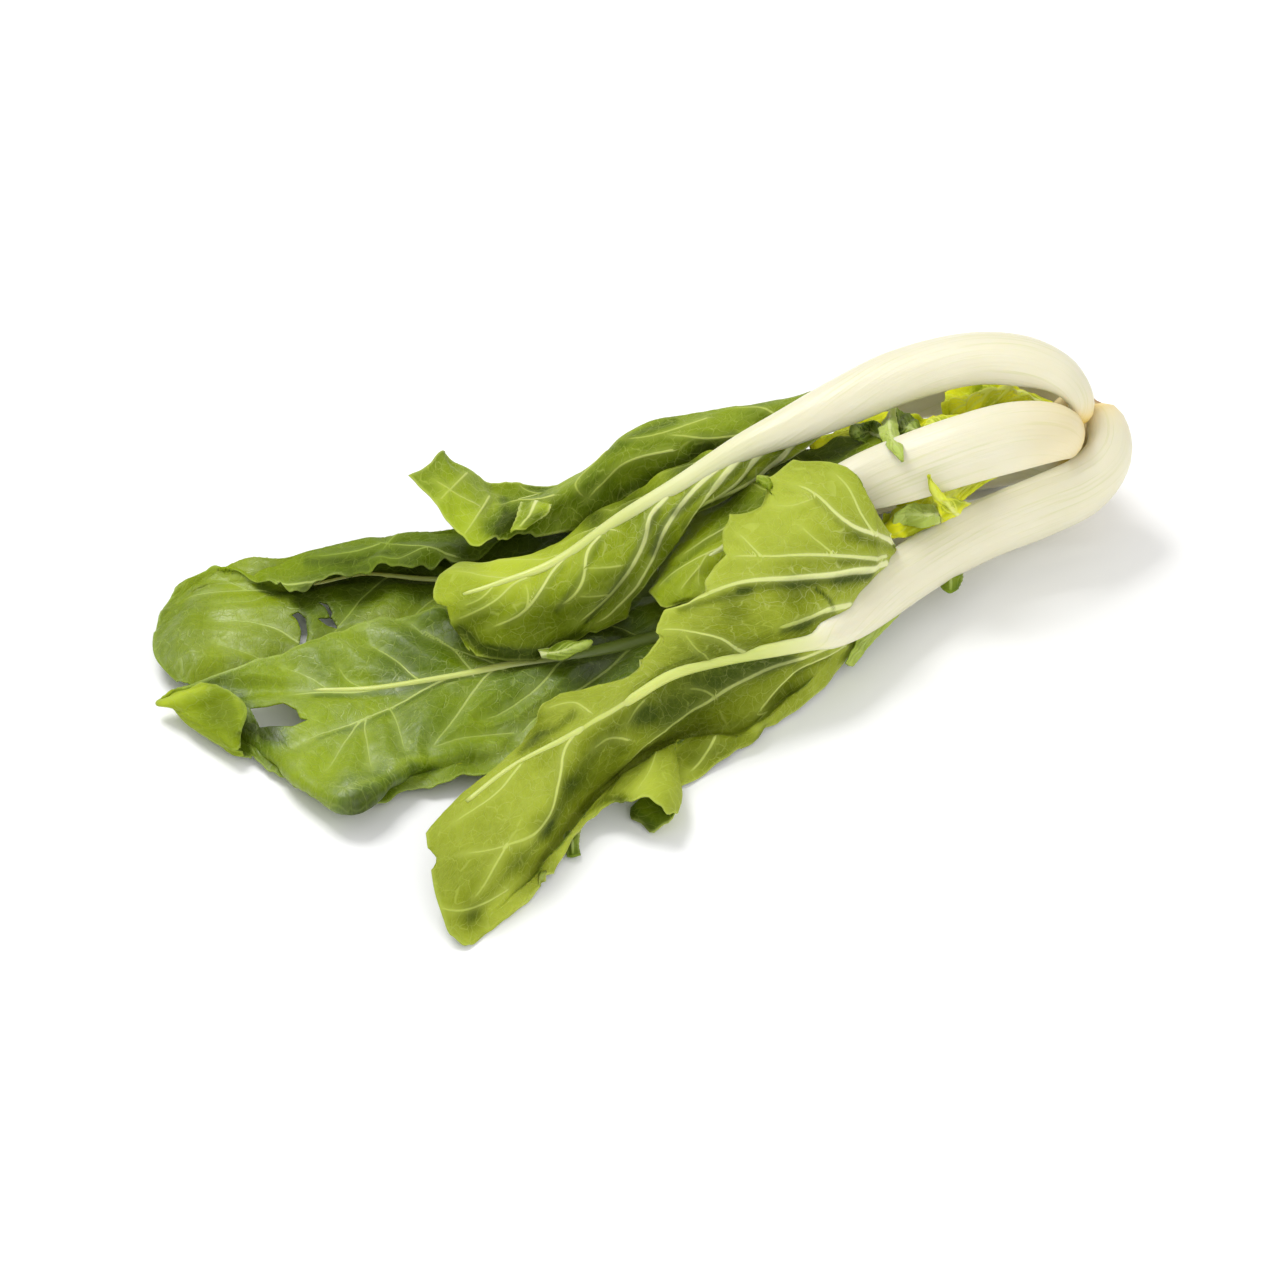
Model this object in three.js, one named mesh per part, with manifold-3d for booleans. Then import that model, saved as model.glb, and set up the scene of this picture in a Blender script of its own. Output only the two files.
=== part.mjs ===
// A head of bok choy lying on its side: a short cut butt, six outer leaves with thick white
// stalks and loose green blades, and three small heart leaves between the stalks.
// Millimetres, +Z up. The head lies on the plane z = 0 with its butt towards +X.
// The origin is on that plane, under the middle of the head's box.

import * as THREE from "three";
import { mergeVertices } from "three/addons/utils/BufferGeometryUtils.js";
import Module from "manifold-3d";

const wasm = await Module();
wasm.setup();

// Driving dimensions

const LOOKING_DOWN = THREE.MathUtils.degToRad(40); // slope of the line of sight on the head
const EYE_DISTANCE = 1600; // from the eye to the middle of the table
const HEAD_CENTRE = new THREE.Vector3(2.3, -21.7, 0); // middle of the head's box on the table
const BLADE_THICKNESS = 0.9;
const GAP = 0.3; // left between pieces that touch
const STALK_SIDES = 12;
const LEAST_HEIGHT = 0; // what would go below the table is pressed flat on it

// Points of the leaves are given as the eye sees them: how far across, how far up the view,
// and how high above the table. seen() turns the three into x, y and z.
const EYE = new THREE.Vector3(
  0,
  -EYE_DISTANCE * Math.cos(LOOKING_DOWN),
  EYE_DISTANCE * Math.sin(LOOKING_DOWN),
);

function seen([across, up, height]) {
  const onScreen = new THREE.Vector3(across, up * Math.sin(LOOKING_DOWN), up * Math.cos(LOOKING_DOWN));
  const t = (height - EYE.z) / (onScreen.z - EYE.z);
  return EYE.clone().lerp(onScreen, t).sub(HEAD_CENTRE);
}

// The stalks, from the butt to the end of the midrib.
// Each row: across, up, height, width, thickness, and the direction that the outer face looks.
const STALKS = {
  upper: [
    [131, 64.5, 39, 11, 8, 0.5, 0.3, 0.8],
    [131, 72.5, 47, 15, 8, 0.8, 0.1, 0.6],
    [125.5, 79.5, 54.5, 18, 9, 0.5, 0, 0.9],
    [114, 83.5, 58, 20, 10, 0.1, -0.1, 1],
    [98, 84, 58, 20, 10, 0, -0.15, 1],
    [78, 79, 55, 19, 9.5, 0, -0.25, 1],
    [60, 71, 50.5, 16, 9, 0, -0.4, 1],
    [45, 64, 47, 12.5, 7.5, 0, -0.5, 1],
    [30, 57.3, 44, 8.6, 5.6, 0, -0.5, 1],
    [12, 46.8, 41, 5.6, 4, 0, -0.5, 1],
    [-5, 36.8, 38, 4.4, 3.2, 0, -0.5, 1],
    [-25, 23.5, 34.5, 3, 2.4, 0, -0.5, 1],
    [-42, 17, 31, 2, 1.9, 0, -0.5, 1],
    [-53, 13.5, 28.5, 1.5, 1.5, 0, -0.5, 1],
  ],
  middle: [
    [131, 61, 39, 13, 7, 0.5, -0.6, 0.5],
    [124, 62.5, 48, 18, 9, 0.3, -0.7, 0.8],
    [112, 61, 51.5, 21, 10, 0, -0.7, 0.75],
    [97, 57, 50.5, 21, 10, 0, -0.7, 0.75],
    [80, 51.5, 46, 20, 9, 0, -0.7, 0.75],
    [65, 46.5, 40, 17, 7, 0, -0.65, 0.8],
    [48, 39, 35, 11, 5, 0, -0.6, 0.85],
    [30, 30, 30.5, 4, 3, 0, -0.6, 0.85],
    [18, 23, 27.3, 2, 1.8, 0, -0.6, 0.85],
  ],
  front: [
    [134.5, 69, 36, 13, 9.5, 0.6, 0.2, 0.5],
    [139, 63.5, 34, 17, 12, 0.9, -0.1, 0.4],
    [139.5, 55, 30, 19, 12.5, 0.9, -0.5, 0.3],
    [133, 46.5, 24.5, 20.5, 11.5, 0.5, -0.9, 0.2],
    [120, 40, 20.5, 20.5, 10.5, 0.2, -1, 0.25],
    [104, 33.5, 18.5, 19.5, 10, 0, -1, 0.3],
    [88, 25, 18, 18.5, 9.5, 0, -1, 0.35],
    [74, 15.5, 19, 18, 8.5, 0, -1, 0.4],
    [64, 7.5, 21, 14.5, 7.5, 0, -0.9, 0.5],
    [56.5, 1.8, 22.8, 9.5, 6, 0, -0.8, 0.6],
    [52, -0.6, 23.6, 5, 4.2, 0, -0.8, 0.6],
    [42, -2.6, 24.6, 4.4, 3.6, 0, -0.8, 0.6],
    [26, -5.8, 26, 3.6, 3.2, 0, -0.7, 0.7],
    [10, -10.3, 26.5, 3.2, 2.8, 0, -0.6, 0.8],
    [-3, -18, 26, 2.8, 2.5, 0, -0.5, 0.9],
    [-20, -28.5, 24, 2.4, 2.2, 0, -0.5, 0.9],
    [-38, -38, 21.5, 1.9, 1.8, 0, -0.5, 0.9],
    [-52, -48.5, 18.5, 1.5, 1.5, 0, -0.5, 0.9],
  ],
  back: [
    [133, 66, 33, 12, 7, 0.3, 0.9, -0.2],
    [127, 73, 31, 17, 8, 0.2, 1, -0.1],
    [113, 76, 30, 20, 9, 0, 1, 0],
    [96, 75, 30, 20, 9, 0, 1, 0.1],
    [78, 71.5, 31, 17, 8, 0, 1, 0.2],
    [60, 66.5, 31, 12, 7, 0, 0.9, 0.4],
    [42, 63.5, 29, 7, 5.5, 0, 0.7, 0.7],
    [22, 60.5, 25, 4.5, 4, 0, 0.5, 0.9],
    [0, 53.5, 21, 3.6, 3.2, 0, 0.4, 0.9],
    [-20, 45.5, 18.5, 2.8, 2.6, 0, 0.4, 0.9],
    [-38, 41, 18.5, 2, 2, 0, 0.4, 0.9],
  ],
  lower_back: [
    [132, 57, 24, 12, 7, 0.2, 0.5, -0.9],
    [124, 56, 14, 16, 8, 0.1, 0.5, -0.9],
    [110, 54.5, 8, 18, 9, 0, 0.4, -0.9],
    [92, 50.5, 4.2, 18, 9, 0, 0.2, -1],
    [72, 44.5, 4, 17, 8.5, 0, 0, -1],
    [50, 37, 3.6, 13, 7.5, 0, 0, -1],
    [28, 30, 4, 9, 6, 0, 0, -1],
    [5, 25, 5, 6, 5, 0, 0, -1],
    [-20, 20.5, 5, 4.5, 4, 0, 0, -1],
    [-45, 17.5, 5, 3, 2.8, 0, 0, -1],
    [-64, 18, 4.6, 2.2, 2.2, 0, 0, -1],
    [-82, 19.5, 4.6, 1.7, 1.7, 0, 0, -1],
    [-98, 16.5, 4.8, 1.4, 1.4, 0, 0, -1],
  ],
  lower_front: [
    [132, 52, 25, 12, 7, 0.3, -0.5, -0.8],
    [126, 46, 16, 15, 8, 0.2, -0.5, -0.9],
    [113, 41, 9, 18, 9, 0, -0.3, -1],
    [95, 33, 4.3, 18, 9, 0, -0.1, -1],
    [76, 24.5, 4, 16, 8.5, 0, 0, -1],
    [55, 15.5, 3.7, 13, 7.5, 0, 0, -1],
    [34, 8.5, 7, 9, 6, 0, 0, -1],
    [12, 2.5, 9, 6.5, 5, 0, 0, -1],
    [-12, -3.5, 9.5, 5, 4, 0, 0, -1],
    [-40, -8, 9.5, 3.2, 2.8, 0, 0, -1],
    [-58, -11.5, 9, 2.6, 2.4, 0, 0, -1],
    [-80, -14.5, 8, 2, 1.9, 0, 0, -1],
    [-98, -15.2, 7, 1.5, 1.5, 0, 0, -1],
  ],
};

// The blades. Each row crosses the leaf from its far edge to its near edge, and the rows go
// from the stalk to the tip. rib is the number of the place in a row where the midrib runs.
// cells is the number of grid cells between each two rows, and across the number over a row.
const BLADES = {
  upper: {
    rib: 3,
    cells: [3, 3, 3, 3, 3, 3, 2, 2],
    across: 14,
    lobes: 9,
    pleat: 1,
    rows: [
      [[56, 74, 47.5], [55, 73, 48.5], [53, 70.5, 49], [51, 67, 48.2], [52, 63.5, 44.5], [54, 63, 41.5],
       [57, 62.5, 40]],
      [[33, 63.5, 40], [32, 63, 42], [31, 61, 43.5], [31, 57.5, 44.2], [32, 53, 41], [32, 50, 37],
       [32, 47, 33]],
      [[16, 55.5, 33.5], [15, 52.8, 38], [14, 50.5, 40.8], [13, 47.2, 41.2], [15, 40, 38.5], [14, 35, 34],
       [12.5, 30.5, 29]],
      [[0, 46.8, 27], [-1, 43.2, 34], [-2, 41, 37.5], [-4, 37.2, 38.2], [-2, 28, 35], [-1, 20, 29],
       [0, 13.5, 22]],
      [[-15, 38.5, 24], [-16, 34.3, 31], [-17, 32, 34.8], [-18, 28, 36], [-15, 18, 32.5], [-12, 9, 24],
       [-15, 1.5, 15]],
      [[-29, 26.5, 21], [-30, 27.8, 27], [-31, 26, 31.5], [-32, 20.3, 33], [-30, 12, 29.5], [-28, 4, 22],
       [-27, -4, 14]],
      [[-42, 22, 20], [-43, 24.3, 25], [-44, 22.3, 28.5], [-45, 16, 30.3], [-44, 9, 27.5], [-43, 2, 21.5],
       [-40.5, -7, 14]],
      [[-52, 22.5, 22], [-54, 24, 24.5], [-56, 20, 27], [-55.5, 13.3, 28], [-54.5, 9, 26.5],
       [-53, 4, 22.5], [-50.5, -4.5, 16]],
      [[-59, 21, 24], [-60, 20, 25.5], [-61.5, 17, 26.5], [-62, 13, 26.3], [-61, 11, 26], [-59, 7, 24],
       [-57, 4, 21.5]],
    ],
  },
  middle: {
    rib: 2,
    cells: [2, 2, 3, 3, 2],
    across: 8,
    lobes: 6,
    pleat: 1,
    rows: [
      [[80, 61.5, 44.5], [75, 56, 45], [70, 48.5, 41.5], [71, 43, 36], [72, 40, 33]],
      [[63, 62, 39], [61, 53.5, 42.5], [56, 43.5, 37.3], [56, 36, 33], [56, 31, 29]],
      [[44, 57, 32], [43, 46.5, 38.5], [40, 35.5, 32.8], [42, 27, 29], [43, 22, 26]],
      [[26, 47, 26], [26, 38, 33], [24, 26.5, 29.3], [28, 20, 27], [30, 16, 24.5]],
      [[10.5, 31, 21.5], [11, 26, 26.5], [11, 19, 26], [14, 14, 25], [17, 12, 23.5]],
      [[2, 16, 20], [2.5, 14.5, 21.8], [4, 13, 22.3], [6, 10.5, 23], [8, 9.5, 22.5]],
    ],
  },
  front: {
    rib: 3,
    cells: [1, 2, 2, 2, 2, 2, 2, 2, 2, 2, 2, 2, 2, 2, 2, 2, 2, 2],
    across: 16,
    lobes: 11,
    pleat: 1,
    rows: [
      [[70, 33, 35], [76, 29, 31], [77, 27, 26], [82, 21.5, 18.5], [83, 18.5, 14], [82, 17, 11],
       [81.5, 16, 9.5], [81, 15.5, 8.5], [81, 15, 7]],
      [[65, 49.8, 48.5], [69.8, 41, 45], [72, 31, 38], [74, 15.5, 19], [74, 12, 14], [72, 9.5, 9.5],
       [70.5, 7, 8], [69.7, 5, 7], [69, 3, 6]],
      [[47, 55, 49], [60, 44, 47], [70, 26, 36], [66, 9.5, 20], [65.5, 5, 15], [64, 2.5, 10], [63, 0, 7.5],
       [62, -3.2, 6.2], [61.2, -6.6, 4.6]],
      [[36, 48, 45], [50, 36, 44], [62, 19, 34], [57, 2.5, 22], [57, -2, 16], [55.5, -6, 9.5],
       [54.5, -9.5, 6.8], [53.5, -13, 4.8], [52.3, -16.6, 2.6]],
      [[26, 38, 40], [40, 24, 39], [52, 10, 30], [44, -2.3, 24.5], [45, -8, 17], [44, -15, 6],
       [43.4, -18.4, 6.5], [42.8, -21.8, 4.5], [42.2, -25.2, 1.5]],
      [[19.5, 16, 32], [31, 12, 33], [41, 4.5, 30], [29, -5.4, 26], [31, -13, 17], [33, -24, 4.2],
       [32, -27.3, 7], [31.5, -30, 4.5], [31, -33.2, 0.9]],
      [[11, 9.8, 29.5], [18, 7, 30.5], [27, 0.5, 30], [18, -7.8, 26.5], [21, -17, 17], [22, -27, 3],
       [21, -29, 7], [20, -34.5, 4.6], [20, -40.5, 0.9]],
      [[6, 5, 28.5], [12, 3, 29.5], [20, -2, 29.6], [12, -9.6, 26.5], [15, -19, 17], [17, -28, 3],
       [14.5, -29.2, 7.6], [4, -43.5, 2.2], [-5, -53.5, 0.9]],
      [[3, 1, 27.8], [7, -0.5, 29], [15, -4.5, 29.3], [8, -11, 26.4], [11.5, -21.5, 17],
       [13.5, -29.5, 3.2], [12.5, -29.6, 8.4], [9.5, -45, 2.6], [4.5, -58.3, 0.9]],
      [[0.5, -2.5, 27.2], [4, -3, 28.6], [11, -6.5, 28.9], [5, -12.3, 26.2], [9, -23.5, 17],
       [10.5, -31, 3.4], [10.8, -30, 9.6], [13.4, -42.5, 7.4], [13.4, -53.5, 6.5]],
      [[-1, -5.5, 26.6], [1, -5, 28], [7, -8.5, 28.3], [2, -14, 26], [6, -26, 17], [7, -33, 3.6],
       [7.5, -31.8, 10.6], [8.5, -42.5, 13.4], [7, -50.5, 13.6]],
      [[-3.5, -9, 25.9], [-2, -8, 27.4], [3, -10, 27.8], [-2, -16.5, 26], [1, -29.5, 17], [0.5, -36, 4],
       [0, -37.3, 10.4], [-1.5, -43, 12.8], [-3, -48.3, 12.4]],
      [[-8, -12, 25.2], [-6, -11, 26.8], [-2, -12, 27.3], [-5.5, -19.8, 26], [-3.5, -32.5, 17],
       [-5, -39.5, 5], [-7.5, -42, 9.4], [-8.5, -46, 10], [-9, -49.6, 8.6]],
      [[-17, -15.5, 24], [-14, -15, 26], [-9, -15.5, 27], [-12, -24.5, 25.5], [-10, -36, 17],
       [-12, -46, 5], [-13.5, -47.5, 8.5], [-14, -50.5, 8], [-14.5, -54.5, 5.5]],
      [[-26, -20, 23], [-22, -19.5, 25], [-18, -20.5, 26], [-18, -27.5, 24.5], [-17, -40, 17],
       [-19, -54, 4], [-20.5, -56, 7.5], [-20.5, -60, 6], [-21, -65, 2.5]],
      [[-35, -27, 19], [-33, -27, 22], [-31, -28, 23.5], [-29, -33.5, 23], [-25, -47, 19], [-27, -63, 4],
       [-28.5, -65.5, 5.5], [-28, -69.5, 4], [-27.5, -74, 0.9]],
      [[-44, -36, 15], [-43, -36, 19], [-42, -36.5, 21], [-41, -40.5, 21], [-35, -58, 18], [-37, -73, 5],
       [-36.5, -75.5, 4], [-34, -77.5, 2.8], [-31.5, -79.5, 0.45]],
      [[-55, -46, 12], [-55, -46, 16], [-54, -46.5, 18], [-53, -49.5, 18], [-47, -69, 15], [-46, -81, 6],
       [-45, -83, 4], [-42, -84.5, 2.5], [-39, -85.5, 0.45]],
      [[-63, -57, 12], [-64, -57, 13], [-64, -58, 14], [-64, -60, 14], [-62, -74, 12], [-58, -86, 6],
       [-55, -89, 4], [-52, -91.5, 2], [-49, -91.5, 0.45]],
    ],
  },
  back: {
    rib: 1,
    cells: [2, 2, 3, 3, 3, 2, 2, 2, 2, 2, 2],
    across: 12,
    lobes: 7,
    pleat: 0.5,
    rows: [
      [[60, 68, 24], [58, 66, 31], [57, 71, 35], [57, 76, 39], [55, 73, 42.5], [54, 69, 41]],
      [[41, 66, 21], [41, 63, 28.5], [41, 68, 32], [40, 72.5, 37], [38, 69, 39.5], [35.5, 58.5, 34]],
      [[22, 62, 19], [22, 60, 24.5], [22, 65, 29], [21, 69.5, 35], [19, 62, 36.5], [15.5, 50, 26.5]],
      [[0, 57, 16], [0, 53.5, 20.5], [1, 60, 26], [1, 65.8, 33], [-2, 57, 33.5], [-3, 44.5, 22.5]],
      [[-15, 50, 15], [-16, 47.5, 18], [-14, 52, 22], [-13, 54.8, 28.5], [-16, 48, 30], [-17, 36.5, 19.5]],
      [[-30, 46.8, 17], [-30, 42.5, 19], [-28, 45, 21], [-26, 45.8, 24], [-29, 41, 26], [-32, 30.5, 20]],
      [[-38, 47, 18.5], [-39, 41.5, 20.5], [-38, 42, 23], [-36.5, 41.5, 26], [-38, 37, 28], [-40, 30, 26]],
      [[-44, 47, 21], [-44, 42.5, 24], [-44, 40, 26], [-43.5, 37, 28], [-43.5, 34, 29], [-44, 30.5, 28.5]],
      [[-47, 49, 25], [-48, 43, 28], [-48.5, 38.5, 30], [-48.5, 35, 30.5], [-49, 32, 30.5],
       [-50, 28.7, 30]],
      [[-52, 53, 30], [-53.5, 48, 32], [-54.5, 43, 33], [-55.5, 39, 33], [-56, 36, 32.5], [-56.5, 34, 32]],
      [[-56, 55.5, 32], [-57.5, 52, 34], [-59, 48.5, 35], [-60.5, 46, 35], [-61.5, 44, 34.5],
       [-63, 42, 34]],
      [[-58, 57.5, 33], [-60, 56.5, 34.5], [-63, 54, 35.5], [-65.5, 52, 36], [-67.5, 51, 36],
       [-69.5, 50, 36]],
    ],
  },
  lower_back: {
    rib: 2,
    cells: [2, 3, 3, 3, 3, 3, 2, 2],
    across: 14,
    lobes: 8,
    pleat: 0.8,
    rows: [
      [[9, 7, 3.6], [6, 16, 4.6], [5, 25, 5.5], [5, 34, 6.5], [5, 41, 7], [5, 48, 8]],
      [[-20, 2.5, 3.2], [-20, 12, 4.4], [-20, 20.5, 5.5], [-20, 30, 6.5], [-20, 38, 8], [-20, 43, 9]],
      [[-48, 1, 3], [-48, 9, 4.2], [-48, 17.5, 5], [-48, 26, 6], [-50, 34.8, 11], [-50, 24, 13.5]],
      [[-68, -3, 3], [-68, 8, 4.4], [-68, 18.5, 4.6], [-68, 24, 5.5], [-70, 33, 13], [-69, 21.5, 15.5]],
      [[-86, -8, 3], [-86, 7, 4.8], [-86, 19.3, 4.8], [-86, 23, 6], [-88, 30.5, 13], [-86, 19.5, 15]],
      [[-103, -10, 3], [-103, 4, 5.4], [-103, 15.5, 4.8], [-103, 20, 6.5], [-105, 26, 12], [-103, 14, 13]],
      [[-118, -13, 3], [-118, 2, 6], [-118, 15, 5.2], [-118, 19, 6.5], [-117.5, 24.5, 9],
       [-113, 17.5, 10.5]],
      [[-130, -15, 2.5], [-132, -2, 6], [-132, 13.5, 5.5], [-131, 16.5, 6], [-130, 19, 6.5],
       [-127, 22, 7]],
      [[-138, -14.5, 2.5], [-145.5, -6, 5], [-145, 4, 5], [-143, 9, 5], [-140.5, 13, 5], [-137, 15.5, 5]],
    ],
  },
  lower_front: {
    rib: 2,
    cells: [2, 3, 3, 3, 3, 2, 3, 3, 3, 3],
    across: 14,
    lobes: 9,
    pleat: 0.6,
    rows: [
      [[20, 12, 9], [19, 9, 9.5], [14, 3, 9.5], [12, -2, 9], [11, -7, 8], [10, -10, 6.5], [9, -12, 5]],
      [[-5, 12, 11], [-6, 6, 11], [-10, -3, 10], [-12, -10, 9], [-14, -16, 7], [-14, -19, 5],
       [-15, -22, 4]],
      [[-32, 11, 11], [-32, 3, 11], [-34, -7.5, 10], [-36, -18, 9], [-36, -28, 7], [-35, -34, 4.5],
       [-35, -38, 3]],
      [[-57, 8, 11], [-57, -2, 11], [-57, -11.5, 9.5], [-57, -22, 9], [-56, -33, 8], [-55, -38, 4.5],
       [-54, -43, 3]],
      [[-76, 6, 10.5], [-75, -4, 10], [-75, -14, 8.5], [-73, -25, 8.5], [-70, -37.5, 8.5], [-70, -41, 3.6],
       [-67, -46.5, 0.45]],
      [[-93, 0, 9.5], [-92, -7, 9], [-92, -15.2, 7.5], [-90, -27, 8.5], [-86, -48.5, 9.5], [-86, -44, 3.4],
       [-84, -52, 0.45]],
      [[-106, -4.5, 9], [-106, -10, 8], [-106, -15.8, 7], [-104, -28, 7.5], [-99, -44, 8], [-100, -41, 3],
       [-99, -48, 0.45]],
      [[-118, -8.5, 8.5], [-118, -12, 7.5], [-118, -16, 6.5], [-116, -24, 5], [-112, -33, 4],
       [-110, -35, 2.4], [-109, -41.5, 0.45]],
      [[-132, -12.5, 8], [-132, -14, 7.2], [-132, -17, 6], [-128, -22, 4], [-124, -27, 3], [-119, -31, 2],
       [-116, -37, 0.45]],
      [[-138, -14.2, 7], [-141, -15.5, 6], [-145, -19, 4.5], [-140, -22.5, 4], [-135, -27, 3.5],
       [-128, -31, 3], [-119, -36.5, 2]],
      [[-136, -14, 9], [-138, -15, 9], [-139, -18, 9], [-137, -20.5, 9], [-132, -25, 9], [-127, -29, 7.5],
       [-119.5, -34.5, 5]],
      [[-130, -13.3, 11], [-128, -13.5, 12], [-125, -14.5, 13], [-120, -17, 14], [-118.5, -21, 13.5],
       [-121, -27, 11], [-120, -32, 7]],
    ],
  },
};

// Holes and notches in the blades: an outline as seen, and the two heights between which it
// is cut along the line of sight.
const HOLES = {
  lower_back: [
    {
      from: 0,
      to: 12,
      outline: [[-105, 7.5], [-102.5, 8.8], [-100, 6.5], [-99.5, 1], [-101, -3], [-102.6, -1.5], [-102, 3]],
    },
  ],
  lower_front: [
    {
      from: 0,
      to: 12,
      outline: [[-117, -20.5], [-112, -20], [-107, -18.8], [-103, -21], [-99.5, -24], [-105, -26.5], [-113, -26]],
    },
  ],
};

// The small leaves between the stalks: rows across each one, from the butt to the tip.
const HEART_LEAVES = {
  high: [
    [[126, 70, 33], [126, 68, 34], [126, 66, 33]],
    [[116, 75.5, 36], [115.5, 73, 38.5], [116, 70, 37]],
    [[107, 79, 38], [106, 73.5, 42], [106, 67, 40]],
    [[98, 77.5, 39], [97, 71.5, 42], [98, 65.5, 40]],
    [[92, 73, 38], [91, 69.5, 39.5], [92, 66, 38]],
  ],
  middle: [
    [[124, 65, 30], [124, 63, 31], [124, 61, 32]],
    [[106, 66, 29], [104, 62, 31], [104, 58, 32]],
    [[92, 66, 31], [91, 61, 33.5], [91, 56.5, 32.5]],
    [[79, 67, 35.5], [78, 61.5, 38.5], [79, 56, 35.5]],
    [[66, 66, 36], [65, 62, 38], [66, 57.5, 36]],
    [[52, 60, 33.5], [51, 58, 34], [52, 56, 33]],
  ],
  low: [
    [[122, 57, 33], [122, 56, 32], [122, 55, 31]],
    [[109, 53.5, 33], [109, 51.5, 32], [109, 50, 31]],
    [[97, 49, 31], [97, 45.5, 30], [97, 42, 28]],
    [[84, 43.5, 30], [84, 37.5, 29.5], [84, 32, 25]],
    [[73, 38, 28], [71.5, 34, 28.5], [73, 30, 26]],
  ],
};

// The butt, where all the stalks meet: a short stub with its cut face away from the eye.
const BUTT = {
  cutFace: [132, 67, 31.5],
  innerEnd: [127.5, 61, 34],
  radii: [8.6, 9, 9.4, 9.2, 7.6, 4.5],
  sides: 24,
};

// A cubic blend of four neighbours at t between the middle two, which it passes through.
function blend(p0, p1, p2, p3, t) {
  const t2 = t * t;
  const t3 = t2 * t;
  return new THREE.Vector3()
    .addScaledVector(p0, 0.5 * (-t3 + 2 * t2 - t))
    .addScaledVector(p1, 0.5 * (3 * t3 - 5 * t2 + 2))
    .addScaledVector(p2, 0.5 * (-3 * t3 + 4 * t2 + t))
    .addScaledVector(p3, 0.5 * (t3 - t2));
}

// The point at place u of a list of points, where u runs from 0 to the last point's number.
function along(points, u) {
  const last = points.length - 1;
  const i = Math.min(Math.floor(u), last - 1);
  const before = i > 0 ? points[i - 1] : points[0].clone().multiplyScalar(2).sub(points[1]);
  const after =
    i + 2 <= last ? points[i + 2] : points[last].clone().multiplyScalar(2).sub(points[last - 1]);
  return blend(before, points[i], points[i + 1], after, u - i);
}

// A closed solid from vertices and triangles, and back to a geometry.
function solidOf(positions, triangles) {
  const geometry = new THREE.BufferGeometry();
  geometry.setAttribute("position", new THREE.Float32BufferAttribute(positions, 3));
  geometry.setIndex(triangles);
  const merged = mergeVertices(geometry, 1e-4);
  return new wasm.Manifold(
    new wasm.Mesh({
      numProp: 3,
      vertProperties: merged.attributes.position.array,
      triVerts: new Uint32Array(merged.index.array),
    }),
  );
}

function geometryOf(solid) {
  const mesh = solid.getMesh();
  const geometry = new THREE.BufferGeometry();
  geometry.setAttribute("position", new THREE.Float32BufferAttribute(mesh.vertProperties, 3));
  geometry.setIndex(Array.from(mesh.triVerts));
  geometry.computeVertexNormals();
  return geometry;
}

// A stalk: a section that is round outside and a little hollow inside, carried along the
// stalk's line. extra makes it larger all round, for cutting its place out of a neighbour.
function stalkSolid(rows, extra = 0) {
  const centres = rows.map((row) => seen(row));
  const sizes = rows.map((row) => new THREE.Vector3(row[3], row[4], 0));
  const outwards = rows.map((row) => new THREE.Vector3(row[5], row[6], row[7]).normalize());
  const steps = 2 * (rows.length - 1);
  const positions = [];
  for (let i = 0; i <= steps; i++) {
    const u = i / 2;
    const centre = along(centres, u);
    const size = along(sizes, u);
    const ahead = along(centres, Math.min(u + 0.1, rows.length - 1));
    const behind = along(centres, Math.max(u - 0.1, 0));
    const forward = ahead.sub(behind).normalize();
    if (extra && i === 0) centre.addScaledVector(forward, -extra);
    if (extra && i === steps) centre.addScaledVector(forward, extra);
    const out = along(outwards, u);
    out.addScaledVector(forward, -out.dot(forward)).normalize();
    const side = new THREE.Vector3().crossVectors(forward, out);
    const hollow = 0.16 * size.x * THREE.MathUtils.smoothstep(size.x, 4, 16);
    for (let k = 0; k < STALK_SIDES; k++) {
      const angle = (2 * Math.PI * k) / STALK_SIDES;
      const x = Math.cos(angle) * (size.x / 2 + extra);
      const bow = hollow * (0.5 - (2 * x * x) / (size.x * size.x));
      const y = Math.sin(angle) * (size.y / 2 + extra) + bow;
      const p = centre.clone().addScaledVector(side, x).addScaledVector(out, y);
      positions.push(p.x, p.y, Math.max(p.z, LEAST_HEIGHT - extra));
    }
  }
  const triangles = [];
  for (let i = 0; i < steps; i++) {
    for (let k = 0; k < STALK_SIDES; k++) {
      const a = i * STALK_SIDES + k;
      const b = i * STALK_SIDES + ((k + 1) % STALK_SIDES);
      triangles.push(a, a + STALK_SIDES, b, b, a + STALK_SIDES, b + STALK_SIDES);
    }
  }
  const end = steps * STALK_SIDES;
  for (let k = 1; k < STALK_SIDES - 1; k++) {
    triangles.push(0, k, k + 1);
    triangles.push(end, end + k + 1, end + k);
  }
  return solidOf(positions, triangles);
}

// How far the edge stands out at place u of the leaf: rounded lobes with small teeth on them.
function edgeOutline(u, lobes, phase) {
  const lobe = Math.abs(Math.sin(Math.PI * (lobes * u + phase)));
  const tooth = 0.5 + 0.5 * Math.sin(2 * Math.PI * (lobes * 2.7 * u + 2 * phase));
  return 0.93 + 0.05 * lobe + 0.02 * tooth;
}

// The middle surface of a blade at place u along it (0 to 1) and x across it (-1 at the far
// edge, 0 on the midrib, 1 at the near edge).
function bladePoint(net, shape, u, x) {
  const last = net.length - 1;
  const columns = net[0].length - 1;
  const phase = x < 0 ? 0.13 : 0.61;
  const reach = x * edgeOutline(u, shape.lobes, phase);
  const v = reach < 0 ? shape.rib * (1 + reach) : shape.rib + (columns - shape.rib) * reach;
  const rowPoints = net.map((row) => along(row, v));
  return along(rowPoints, u * last);
}

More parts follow.
